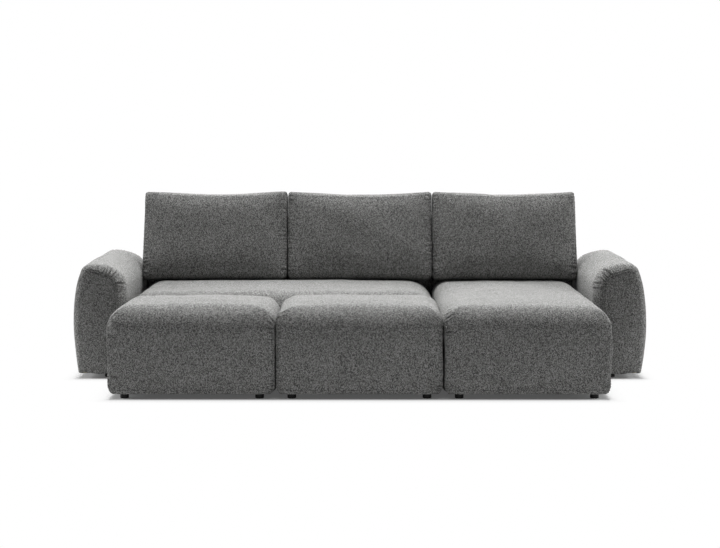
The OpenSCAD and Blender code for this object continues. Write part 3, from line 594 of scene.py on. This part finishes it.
class Block:
    """An upholstered block in a CAD box, with round edges, swollen sides and a crowned top."""

    def __init__(self, node, sizes, hem_r, hem_corner_r, side_r=None):
        self.low, self.high = (np.array(corner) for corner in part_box(node))
        self.middle, self.half = (self.low + self.high) / 2, (self.high - self.low) / 2
        self.sizes, self.hem_r, self.hem_corner_r = sizes, hem_r, hem_corner_r
        # Rounding of the top edge over the left and the right side
        self.side_r = side_r or (sizes.edge_r, sizes.edge_r)

    def outside(self, p):
        """How far points lie outside the block."""
        s, half = self.sizes, self.half
        x, y = p[:, 0] - self.middle[0], p[:, 1] - self.middle[1]
        from_side, from_front = (np.maximum(h - np.abs(v), 0) for h, v in zip(half, (x, y)))
        up = (p[:, 2] - self.middle[2]) / half[2]
        # This share of the swell is left at the top and at the hem. A side swells more evenly
        # than the front, because its neighbour presses it nearly flat
        left = 0.35
        front_swell = bulge(x / half[0], 8) * (left + (1 - left) * bulge(up, 2))
        side_swell = bulge(y / half[1], 14) * (left + (1 - left) * bulge(up, 6))
        side = np.abs(x) - (half[0] - s.swell * (1 - side_swell))
        front = np.abs(y) - (half[1] - s.swell * (1 - front_swell))
        reach, round_power = half[:2] - 0.45 * s.edge_r, 2.4
        crown = bulge(x / reach[0], round_power) * bulge(y / reach[1], round_power)
        top = p[:, 2] - (self.high[2] - s.crown * (1 - crown))
        # The hem is rounder towards the corners. The upright corners are rounder towards the
        # top, from below it and over a height that are both counted in roundings of the edge
        hem_reach, below, height, turn_wide = 0.17, 1.8, 1.4, 0.12
        hem_corner = np.clip(1 - (2 * from_side + from_front) / hem_reach, 0, 1)
        hem = blend(self.hem_r, self.hem_corner_r, hem_corner)
        shoulder = np.clip((p[:, 2] - self.high[2]) / s.edge_r + below, 0, height) / height
        corner_r = blend(s.corner_r, s.shoulder_r, shoulder)
        over_side = np.clip(0.5 + (side - front) / turn_wide, 0, 1)
        edge_r = s.edge_r + (np.where(x < 0, *self.side_r) - s.edge_r) * over_side
        around = eased(eased(side, front, corner_r), top, edge_r)
        return eased(around, self.low[2] - p[:, 2], hem)

    def wrap(self, points):
        r = self.sizes.edge_r
        return wrapped(points, self.low + (r, r, self.hem_corner_r), self.high - r, self.outside)

    def skin(self, rim, edge, fine, coarse):
        """Points of the CAD box, their places on the surface, their ways straight out and the
        quads between them. The mesh is finer at the edges."""
        sides = self.high - self.low
        cut, faces = box_skin([self.low[d] + spaced(sides[d], edge[d], fine, coarse, first)
                               for d, first in enumerate((0.016, 0.016, 0.030))], rim)
        points = self.wrap(cut)
        return cut, points, normals(points, self.outside), faces

    def seen_path(self, eye, side, steps, spacing=0.002):
        """A line on the surface that covers, seen from the eye, steps on the plane of the front:
        their distance from the side (-1 or 1) and their height, in millimetres."""
        steps = np.array(steps) / 1000
        run = np.concatenate([[0], np.cumsum(np.hypot(*np.diff(steps, axis=0).T))])
        at = np.arange(0, run[-1], spacing)
        x, z = np.interp(at, run, steps[:, 0]), np.interp(at, run, steps[:, 1])
        x = self.low[0] + x if side < 0 else self.high[0] - x
        start = np.stack([x, np.full(len(x), self.low[1]), z], 1)
        ray = start - eye
        ray /= np.linalg.norm(ray, axis=1)[:, None]
        way = np.arange(0, 0.8, spacing)
        met = np.stack([self.outside(start + ray * w) <= 0 for w in way], 1)
        return (start + ray * way[met.argmax(1)][:, None])[met.any(1)]

    def side_seams(self, strengths, seed, inset=0.003, turn_r=0.05):
        """The seam around each of the two side panels, from the front hem up, along below the
        top's rounding and down to the rear hem."""
        front, rear = self.low[1] + inset, self.high[1] - inset
        level = self.high[2] - SEAM_LEVEL * self.sizes.edge_r
        turn = [(turn_r * (1 - math.cos(a)), turn_r * (1 - math.sin(a)))
                for a in np.linspace(0, math.pi / 2, 26)]
        path = [(front, z) for z in np.arange(self.low[2], level - turn_r, SEAM_STEP)]
        path += [(front + a, level - b) for a, b in turn]
        path += [(y, level) for y in np.arange(front + turn_r, rear - turn_r, SEAM_STEP)]
        path += [(rear - b, level - a) for a, b in turn]
        path += [(rear, z) for z in np.arange(level - turn_r, self.low[2], -SEAM_STEP)]
        return [Seam(self.wrap(np.array([(x, *step) for step in path])), strengths[k], seed + k,
                     pitch=0.011, long=0.018)
                for k, x in enumerate((self.low[0], self.high[0]))]


# Pieces

# Each seat's body, the strength of its left and right seam, its seed, the roundings over its left
# and right side, and the creases at its front corners: the side, the share of the depth, and the
# steps of their paths
SEATS = {
    "bench": ("sofa", (0.9, 1.0), 11, ("bench", "bench"), []),
    "chaise": ("sofa", (2.0, 1.4), 21, ("inner", "outer"), [
        (-1, 1.0, [(-2, 417), (5, 429), (17, 442), (31, 450), (50, 454), (74, 456)]),
        (-1, 0.8, [(9, 421), (21, 429), (35, 435), (50, 438)]),
        (-1, 1.0, [(-1, 400), (11, 407), (27, 419), (43, 426), (66, 427)]),
        (-1, 0.9, [(4, 380), (15, 388), (29, 397), (43, 407), (62, 413)]),
        (-1, 0.5, [(8, 366), (26, 378), (42, 382)]),
        (-1, 0.35, [(-18, 468), (-2, 487), (19, 497), (46, 502), (136, 507)]),
        (1, 0.5, [(34, 392), (48, 414), (66, 428)])]),
    "left_footrest": ("left_footrest", (1.0, 2.2), 31, ("outer", "inner"), [
        (1, 1.0, [(-2, 423), (8, 433), (19, 443), (37, 451)]),
        (1, 0.5, [(2, 388), (14, 404), (32, 410)]),
        (-1, 0.4, [(34, 388), (48, 406), (70, 418)])]),
    "right_footrest": ("right_footrest", (2.2, 2.0), 41, ("inner", "inner"), [
        (-1, 0.8, [(28, 439), (46, 449), (65, 456), (89, 460), (120, 461)]),
        (-1, 0.8, [(10, 404), (22, 411), (38, 417), (60, 425)]),
        (-1, 0.9, [(5, 392), (16, 402), (30, 409), (50, 414)]),
        (-1, 0.7, [(4, 381), (20, 393), (36, 399)]),
        (1, 0.5, [(12, 390), (22, 408), (40, 420)])]),
}


def seat(place, sizes, fine):
    """A seat with seams over its left and right edges, creases at its front corners and a sewn
    hem."""
    body, strengths, seed, edges, creases = SEATS[place]
    seats, sewing, studio = sizes.seats, sizes.sewing, sizes.studio
    block = Block(place + "_cover", seats, seats.hem_r, seats.hem_corner_r,
                  [getattr(seats, edge + "_edge_r") for edge in edges])
    eye = np.array([studio.camera_x, -studio.camera_y, studio.camera_z])
    cut, points, out, faces = block.skin(seats.hem_turn, (0.12, 0.12, 0.213), fine,
                                         sewing.mesh_coarse)
    on_side = np.minimum(np.abs(cut[:, 0] - block.low[0]), np.abs(cut[:, 0] - block.high[0]))
    behind_seam, panel_gathers = 0.006, 0.3
    panel = (on_side < SAME) & (cut[:, 1] > block.low[1] + behind_seam) \
        & (cut[:, 2] < block.high[2] - SEAM_LEVEL * seats.edge_r)
    move = sewn(points, block.side_seams(strengths, seed), sewing,
                np.where(panel, panel_gathers, 1.0))
    paths = [(block.seen_path(eye, side, steps), part) for side, part, steps in creases]
    move += creased(points, paths, sewing.crease_depth, sewing.crease_w)
    hem = points[:, 2] - block.low[2] - sewing.hem_h
    hem_welt, hem_groove = 0.0012, 0.0015
    move += hem_welt * ridge(hem, 0, 0.003) - hem_groove * ridge(hem, 0.005, 0.0025)
    # Long and short waves, which fade out towards the hem
    fade = 0.1
    upper = np.clip((points[:, 2] - block.low[2]) / fade, 0, 1)
    for part, length, waves_seed in ((1, 0.32, seed), (0.4, 0.09, seed + 50)):
        move += part * sewing.unevenness * upper * softly(points, length, waves_seed)
    piece(place, points + out * move[:, None], faces, body)


class SOFABED_OT_seats(bpy.types.Operator):
    """Make the bench, the chaise and the two footrests"""
    bl_idname = "sofabed.seats"
    bl_label = "Seats"

    def execute(self, context):
        sizes = context.scene.sofa_bed
        bench_fine = 0.005      # the bench is the largest seat, so its mesh is a little coarser
        for place in SEATS:
            seat(place, sizes, bench_fine if place == "bench" else sizes.sewing.mesh_fine)
        return {"FINISHED"}


class SOFABED_OT_backs(bpy.types.Operator):
    """Make the two back panels"""
    bl_idname = "sofabed.backs"
    bl_label = "Back panels"

    def execute(self, context):
        sizes, sewing = context.scene.sofa_bed.backs, context.scene.sofa_bed.sewing
        hem_r, hem_corner_r, hem_turn, fine = 0.010, 0.016, 0.02, 0.007
        for place, seed in (("bench_back", 51), ("chaise_back", 61)):
            back = Block(place + "_cover", sizes, hem_r, hem_corner_r)
            _, points, out, faces = back.skin(hem_turn, (0.05, 0.05, 0.08), fine,
                                              sewing.mesh_coarse)
            move = sewn(points, back.side_seams((0.5, 0.5), seed), sewing)
            move += 0.8 * sewing.unevenness * softly(points, 0.3, seed)
            piece(place, points + out * move[:, None], faces, "sofa")
        return {"FINISHED"}


def arc(centre, r, a, b, spacing):
    """Points on an arc from the angle a to b, each with its outward direction."""
    steps = max(3, round(abs(b - a) * r / spacing))
    return [(centre[0] + r * math.cos(t), centre[1] + r * math.sin(t), math.cos(t), math.sin(t))
            for t in np.linspace(a, b, steps + 1)]


def arm_section(s, wide, high, low, spacing=0.0055, fine=0.0025):
    """Points and outward directions around an arm's section, from the outer lower edge over the
    top to the inner lower edge. x is the distance from the seat. They lie closer together where
    the fabric is gathered."""
    crown = np.array([s.crown_x, high - s.crown_r])
    belly = np.array([wide - s.belly_r, s.belly_z])
    inner_x = s.inner_r + COVER_GAP
    reach = s.crown_r - s.inner_r
    inner = np.array([inner_x, crown[1] + math.sqrt(reach ** 2 - (crown[0] - inner_x) ** 2)])
    # The outer edge's circle touches the crown's and the belly's from within
    d = np.linalg.norm(belly - crown)
    e = (belly - crown) / d
    r1, r2 = s.crown_r - s.outer_r, s.belly_r - s.outer_r
    a = (r1 ** 2 - r2 ** 2 + d ** 2) / (2 * d)
    outer = crown + a * e + math.sqrt(r1 ** 2 - a ** 2) * np.array([e[1], -e[0]])

    def heading(v):
        return math.atan2(v[1], v[0])
    hem_r, hem_turn, hem_spacing, gathered = 0.012, 0.026, 0.004, 0.06
    low_turn = math.asin((low + hem_r - belly[1]) / s.belly_r)
    foot_x = belly[0] + s.belly_r * math.cos(low_turn)
    path = [(foot_x - hem_turn, low, 0, -1), (foot_x - hem_r, low, 0, -1)]
    for part in (
            ((foot_x - hem_r, low + hem_r), hem_r, -math.pi / 2, low_turn, hem_spacing),
            (belly, s.belly_r, low_turn, heading(outer - belly), spacing),
            (outer, s.outer_r, heading(outer - belly), heading(outer - crown), spacing),
            (crown, s.crown_r, heading(outer - crown), math.pi / 2, spacing),
            (crown, s.crown_r, math.pi / 2, heading(inner - crown), fine),
            (inner, s.inner_r, heading(inner - crown), math.pi, fine)):
        path += arc(*part)[1:]
    down = np.concatenate([np.arange(inner[1] - fine, inner[1] - gathered, -fine),
                           np.linspace(inner[1] - gathered, low + hem_r, 62)])
    path += [(COVER_GAP, z, -1, 0) for z in down]
    path += arc((COVER_GAP + hem_r, low + hem_r), hem_r, math.pi, 1.5 * math.pi, hem_spacing)[1:]
    path += [(COVER_GAP + hem_turn, low, 0, -1)]
    return np.array(path)


def arm(side, sizes, seed):
    """An arm: boxing over the top and both sides, and a front and a rear panel let into it."""
    s, sewing = sizes.arms, sizes.sewing
    low, high = (np.array(corner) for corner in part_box(side + "_arm_cover"))
    sign = -1 if side == "left" else 1
    seat_x = high[0] + COVER_GAP if side == "left" else low[0] - COVER_GAP
    wide = abs((low if side == "left" else high)[0] - seat_x)
    around = arm_section(s, wide, high[2], low[2])
    p, n = around[:, :2], around[:, 2:]
    half_length = (high[1] - low[1]) / 2
    # The end's rounding is tighter on the outer side and towards the hem
    outward = np.clip((p[:, 0] - 0.35 * wide) / (0.4 * wide), 0, 1)
    at_hem, above_hem = 0.45, 0.12
    end_r = blend(s.end_r, s.end_outer_r, outward) \
        * np.interp(p[:, 1], [low[2], low[2] + above_hem], [at_hem, 1])
    # Rings from the middle of the front panel to the middle of the arm: how far each lies behind
    # the front, its section, and its share of the way to the panel's middle
    panel, centre = p - n * end_r[:, None], np.array([0.5 * wide, low[2]])
    rings = [(s.end_swell * (1 - inward) ** 3 * np.ones(len(p)),
              panel + (centre - panel) * inward, inward)
             for inward in (0.94, 0.8, 0.66, 0.52, 0.4, 0.3, 0.22, 0.16, 0.115, 0.08, 0.055,
                            0.036, 0.022, 0.012, 0.006)]
    # The rounding's rings lie closer together beside the seam, which is at 72 degrees
    turns = [90, 84, 79, 76, 74, 72, 70, 68, 65, *np.linspace(61, 0, 12)]
    seam_ring = len(rings) + turns.index(72)
    rings += [(s.end_swell + end_r * (1 - math.sin(a)),
               p - n * (end_r * (1 - math.cos(a)))[:, None], 0) for a in np.radians(turns)]
    behind, first, fine_to = s.end_swell + end_r, 0.052, 0.12
    for y in [*np.linspace(0.057, fine_to, 11), *np.linspace(fine_to, half_length, 22)[1:]]:
        even = (y - first) * (half_length - behind) / (half_length - first)
        rings.append((behind + even, p, 0))
    # The front draws the outer top edge down
    shoulder, shoulder_wide = p[np.argmax(p[:, 0] * 0.6 + p[:, 1] * 0.8)], 0.07
    near = s.shoulder_drop * np.exp(-((p - shoulder) ** 2).sum(1) / shoulder_wide ** 2)

    def ring(q, y):
        return np.stack([sign * q[:, 0] + seat_x, y, np.maximum(q[:, 1], low[2])], 1)
    loops = []
    for back, q, inward in rings:
        drop = near * np.clip(1 - back / s.drop_reach, 0, 1) * max(1 - 2.5 * inward, 0)
        loops.append(ring(q - n * drop[:, None], low[1] + back))
    loops += [ring(q, high[1] - back) for back, q, _ in rings[-2::-1]]
    points = np.concatenate(loops)
    count, m = len(p), len(loops)
    faces = []
    for j in range(m - 1):
        for k in range(count - 1):
            a, b = j * count + k, (j + 1) * count + k
            faces.append((a, a + 1, b + 1, b)[::-sign])
    # The end panels close over their innermost loop
    faces += [range(count)[::sign], range((m - 1) * count, m * count)[::-sign]]
    mesh = bpy.data.meshes.new("way_out")
    mesh.from_pydata(points.tolist(), [], faces)
    out = straight_out(mesh)
    bpy.data.meshes.remove(mesh)
    # Gathers lie around the top edge beside the seat, and a few small ones along the top
    beside_seat = np.interp(p[:, 0], [0.10, 0.17], [1, 0]) \
        * np.interp(p[:, 1], [0.30, 0.42], [0.4, 1])
    on_top = np.interp(p[:, 0], [0.17, 0.23], [1, 0]) * (p[:, 1] > 0.5)
    strength = 1.7 * beside_seat + 1.2 * on_top
    # The welt is high beside the seat and on top, and faint outside and below
    depth = np.interp(p[:, 0], [0.7 * wide, 0.9 * wide], [2.2, 0.3]) \
        * np.interp(p[:, 1], [0.25, 0.40], [0.2, 1])
    visible = slice(2, -2)
    seams = [Seam(loops[at][visible], strength[visible], seed + k, depth[visible], pitch=0.013,
                  long=0.034) for k, at in enumerate((seam_ring, m - 1 - seam_ring))]
    number = np.repeat(np.arange(m), count)
    boxing = (number > seam_ring) & (number < m - 1 - seam_ring)
    move = sewn(points, seams, sewing, np.where(boxing, 1.0, FLAT_GATHERS))
    move += 0.9 * sewing.unevenness * softly(points, 0.35, seed)
    piece(side + "_arm", points + out * move[:, None], faces, "sofa")


class SOFABED_OT_arms(bpy.types.Operator):
    """Make the two arms"""
    bl_idname = "sofabed.arms"
    bl_label = "Arms"

    def execute(self, context):
        for side, seed in (("left", 71), ("right", 81)):
            arm(side, context.scene.sofa_bed, seed)
        return {"FINISHED"}


def back_cushion(place, sizes, seed, row_end):
    """A box cushion with a crowned front and rear, leaning on its back panel. row_end tells
    which of its sides is an end of the row of cushions."""
    s, sewing = sizes.cushions, sizes.sewing
    node = place + "_back_cushion"
    low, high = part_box(node + "_cover")
    half_w, half_h = (high[0] - low[0]) / 2, s.height / 2
    side_half, middle_half = s.side_t / 2, s.middle_t / 2
    # The zip lies in the middle of the lower face, which gives the cushion's place
    zip_low, zip_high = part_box(node + "_zip")
    zip_up = 0.00275        # of the zip's middle above the lower face
    turn = Matrix.Rotation(-s.lean, 4, "X")
    origin = (zip_low + zip_high) / 2 - turn @ Vector((0, 0, zip_up))
    stand = np.array(Matrix.Translation(origin) @ turn)

    def outside(p):
        x, y, z = p[:, 0], p[:, 1], p[:, 2] - half_h
        up, along = z / half_h, x / half_w
        thick = side_half + (middle_half - side_half) * (bulge(along, 4.5) * bulge(up, 3.0))
        # The front is fuller low down and rounder at its lower edge, where the filling settles
        settled = np.clip(-up - 0.3, 0, 0.7) / 0.7 * (y < 0) * bulge(along, 6)
        thick += s.settled * settled * (1 - settled ** 3)
        flare = np.where(x * row_end > 0, -s.flare * up, 0)
        side = np.abs(x) - (half_w + flare - s.draw * (1 - bulge(y / side_half, 2)))
        top = z - (half_h - s.dip * bulge(along, 2))
        r = np.where(z > 0, s.top_corner_r, s.corner_r)
        rim = eased(eased(side, top, r), -half_h - z, r)
        r = blend(s.seam_r, s.edge_r, np.clip((np.abs(up) - 0.7) / 0.3, 0, 1))
        return eased(rim, np.abs(y) - thick, r + s.low_r * settled)

    def wrap(points):
        return wrapped(np.array(points), np.array([-half_w + r, -side_half + r, r]),
                       np.array([half_w - r, side_half - r, s.height - r]), outside)

    r, edge, face_fine = s.edge_r, 0.055, 0.0035
    cut, faces = box_skin([
        spaced(2 * half_w, edge, 0.0045, sewing.mesh_coarse, 0.008) - half_w,
        spaced(s.side_t, 0.03, 0.004, 0.008) - side_half,
        spaced(s.height, edge, face_fine, face_fine)])
    points = wrap(cut)
    out = normals(points, outside)
    seams = []
    # The upright seams are gathered, most at their lower ends, and the level ones hardly
    ends, strengths = [0, 0.1, 0.45, 0.6, 0.93, 1], [1.6, 2.2, 1.7, 0.8, 0.8, 1.6]
    level_strength = 0.12
    for k, y in enumerate((-side_half, side_half)):
        for n, x in enumerate((-half_w, half_w)):
            path = [(x, y, z) for z in np.arange(0, s.height, SEAM_STEP)]
            strength = np.interp(np.linspace(0, 1, len(path)), ends, strengths)
            seams.append(Seam(wrap(path), strength, seed + 2 * k + n, pitch=0.022, long=0.030))
        for n, z in enumerate((0, s.height)):
            path = [(x, y, z) for x in np.arange(-half_w, half_w, SEAM_STEP)]
            seams.append(Seam(wrap(path), level_strength, seed + 5 + 2 * k + n))
    even, even_faces = box_skin([np.linspace(-half_w, half_w, 87),
                                 np.linspace(-side_half, side_half, 14),
                                 np.linspace(0, s.height, 55)])
    at = wrap(even)
    # The front may swell further than the sides and the rear
    in_front, least, more = np.clip((-0.3 * side_half - at[:, 1]) / side_half, 0, 1), 0.0006, 0.004
    points = filled(points, (at, even_faces), seams, sewing, least + more * in_front)
    faced = np.abs(np.abs(cut[:, 1]) - side_half) < SAME
    move = sewn(points, seams, sewing, np.where(faced, 1.0, FLAT_GATHERS))
    move += 1.2 * sewing.unevenness * softly(points, 0.28, seed) * faced
    # A slot in the lower face shows the zip
    slot_half_w, slot_half_t, slot_deep = 0.312, 0.0075, 0.0046
    slot = (np.abs(points[:, 0]) < slot_half_w) & (np.abs(points[:, 1]) < slot_half_t) \
        & (points[:, 2] < 0.01)
    points = points + out * move[:, None]
    points[slot, 2] = slot_deep
    points = points @ stand[:3, :3].T + stand[:3, 3]
    piece(node, points, faces, node)


class SOFABED_OT_cushions(bpy.types.Operator):
    """Make the three back cushions"""
    bl_idname = "sofabed.cushions"
    bl_label = "Back cushions"

    def execute(self, context):
        for place, seed, row_end in (("left", 91, -1), ("middle", 101, 0), ("right", 111, 1)):
            back_cushion(place, context.scene.sofa_bed, seed, row_end)
        return {"FINISHED"}


class SOFABED_OT_finishes(bpy.types.Operator):
    """Make the materials, and give the feet, frames, fillings and fasteners theirs"""
    bl_idname = "sofabed.finishes"
    bl_label = "Finishes"

    def execute(self, context):
        finish = context.scene.sofa_bed.finish
        # Each finish goes to the nodes whose names end with its key, and zinc to all the others
        made = {
            "dust_cover": plain("dust_cover_fleece", finish.fleece, 0.95, 900, 0.5, 0.0006),
            "cover": upholstery(finish),
            "frame": plain("timber", (0.50, 0.32, 0.16), 0.6, 18, 0.3, 0.0005,
                           stretch=(0.25, 3, 3)),
            "webbing": plain("elastic_webbing", (0.05, 0.045, 0.04), 0.8, 500, 0.5, 0.0008),
            "foam": plain("seat_foam", (0.72, 0.66, 0.42), 0.95, 600, 0.15, 0.001),
            "core": plain("cushion_wadding", (0.8, 0.8, 0.78), 0.95, 120, 0.1, 0.002),
            "feet": plain("foot_plastic", finish.plastic, 0.45, 1500, 0.4, 0.0001),
            "zip": plain("zip_tape", (0.03, 0.03, 0.03), 0.6, 700, 0.5, 0.0006),
            "zinc": plain("zinc_steel", (0.55, 0.56, 0.58), 0.35, 200, 0.15, 0.0001, 1.0),
        }
        for name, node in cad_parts.items():
            kind = next((k for k in made if name.endswith(k)), "zinc")
            node.data.materials.clear()
            node.data.materials.append(made[kind])
        return {"FINISHED"}


# Studio

WHITE = (1, 1, 1, 1)
SOFTBOXES = {       # power, place, target, width and depth
    "top": ("top_light", (0, 1.2, 6.0), (0, 0.3, 0), 5.0, 2.8),
    "rear": ("rear_light", (0, 4.2, 4.4), (0, 0.3, 0), 5.0, 2.5),
    "front": ("front_light", (0, -4.2, 4.4), (0, -0.5, 0.4), 5.0, 2.5),
    "left": ("side_light", (-7, 0.6, 2.0), (0, 0.2, 0.3), 3.0, 2.4),
    "right": ("side_light", (7, 0.6, 2.0), (0, 0.2, 0.3), 3.0, 2.4),
}


def shown(s):
    """1 where the camera sees a surface, also in a reflection or through glass."""
    camera, glossy, through = (s.node("LightPath", out="Is " + kind + " Ray")
                               for kind in ("Camera", "Glossy", "Transmission"))
    return camera.larger(glossy).larger(through)


def white_floor():
    """Paper that the camera sees as white, but for the shade under and close to the sofa bed,
    which painted white partly lifts.
    """
    s = new_shader("white_floor")
    place = s.place()
    # How far a point lies outside the two rectangles that the sofa bed covers
    x, y = s.part(place, "X").size(), s.part(place, "Y")
    arms_low, arms_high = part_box("right_arm_cover")
    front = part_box("chaise_cover")[0].y
    wide = (x - arms_high.x).larger((y - arms_high.y).larger(arms_low.y - y))
    narrow = (x - arms_low.x).larger((y - arms_high.y).larger(front - y))
    away = wide.smaller(narrow)
    # The share of white, painted light over the floor's shadow: a little below the sofa bed, and
    # what its edge and the next 12 cm add to it
    below, edge, outside = 0.08, 0.74, 0.18
    backdrop_and_painted_light = away.eased(-0.03, 0.03) * edge + away.eased(0.01, 0.12) * outside + below
    paper = s.node("BsdfDiffuse", Color=(0.9, 0.9, 0.9, 1))
    white = s.node("Emission", Color=WHITE, Strength=1.0)
    seen = s.node("MixShader", None, backdrop_and_painted_light, paper, white)
    # Further out, the floor throws less light back at the sofa bed than it shows
    near_grey, far_grey = (0.80, 0.80, 0.80), (0.36, 0.36, 0.36)
    dull = s.node("BsdfDiffuse", None,
                  s.mixed(away.eased(0.1, 0.9), near_grey, far_grey))
    # Painted light: a band of floor just outside the sofa bed's edge glows, unseen by the camera,
    # and lights up its hems
    glow = s.node("Emission", Color=WHITE, Strength=0.9)
    most_glow = 0.65
    glow_band = away.eased(-0.02, 0.05) * (1 - away.eased(0.15, 0.7)) * most_glow
    bounce_and_glow = s.node("MixShader", None, glow_band, dull, glow)
    return s.finish(s.node("MixShader", None, shown(s), bounce_and_glow, seen))


class SOFABED_OT_stage(bpy.types.Operator):
    """Make the white floor, the softboxes and the camera"""
    bl_idname = "sofabed.stage"
    bl_label = "Studio"

    def execute(self, context):
        scene, studio = context.scene, context.scene.sofa_bed.studio
        mesh, far = bpy.data.meshes.new("floor"), 30
        mesh.from_pydata([(-far, -far, 0), (far, -far, 0), (far, far, 0), (-far, far, 0)], [],
                         [(0, 1, 2, 3)])
        mesh.materials.append(white_floor())
        placed("floor", mesh)

        scene.world = bpy.data.worlds.new("studio")
        s = Shader(scene.world)
        room, white = (s.node("Background", Color=WHITE, Strength=strength)
                       for strength in (studio.room_light, 1.0))
        s.finish(s.node("MixShader", None, shown(s), room, white))

        for name, (light, place, target, wide, deep) in SOFTBOXES.items():
            lamp = bpy.data.lights.new(name + "_softbox", "AREA")
            lamp.shape, lamp.size, lamp.size_y = "RECTANGLE", wide, deep
            lamp.energy = getattr(studio, light)
            holder = placed(name + "_softbox", lamp)
            holder.location = place
            way = Vector(target) - Vector(place)
            holder.rotation_euler = way.to_track_quat("-Z", "Y").to_euler()

        lens = bpy.data.cameras.new("camera")
        lens.lens, lens.sensor_width = studio.camera_lens, 36
        camera = placed("camera", lens)
        camera.location = (studio.camera_x, -studio.camera_y, studio.camera_z)
        camera.rotation_euler = (math.pi / 2 - studio.camera_pitch, 0, studio.camera_yaw)
        scene.camera = camera
        scene.view_settings.view_transform = "Standard"
        return {"FINISHED"}


class SOFABED_PT_sizes(bpy.types.Panel):
    """Sizes and colours, and a button for each piece"""
    bl_idname = "SOFABED_PT_sizes"
    bl_label = "Sofa bed"
    bl_space_type = "VIEW_3D"
    bl_region_type = "UI"
    bl_category = "Sofa bed"

    def draw(self, context):
        for step in STEPS:
            self.layout.operator(step.bl_idname)
        sizes = context.scene.sofa_bed
        for name, group in GROUPS.items():
            box = self.layout.box()
            box.label(text=name.capitalize())
            for field in group.__annotations__:
                box.prop(getattr(sizes, name), field)


STEPS = (SOFABED_OT_finishes, SOFABED_OT_seats, SOFABED_OT_backs, SOFABED_OT_arms,
         SOFABED_OT_cushions, SOFABED_OT_stage)
CLASSES = (*GROUPS.values(), SofaBedSizes, *STEPS, SOFABED_PT_sizes)


def register():
    for made in CLASSES:
        bpy.utils.register_class(made)
    bpy.types.Scene.sofa_bed = PointerProperty(type=SofaBedSizes)


def unregister():
    del bpy.types.Scene.sofa_bed
    for made in reversed(CLASSES):
        bpy.utils.unregister_class(made)


def main():
    register()
    for step in STEPS:
        group, name = step.bl_idname.split(".")
        getattr(getattr(bpy.ops, group), name)()


if __name__ == "__main__":
    main()
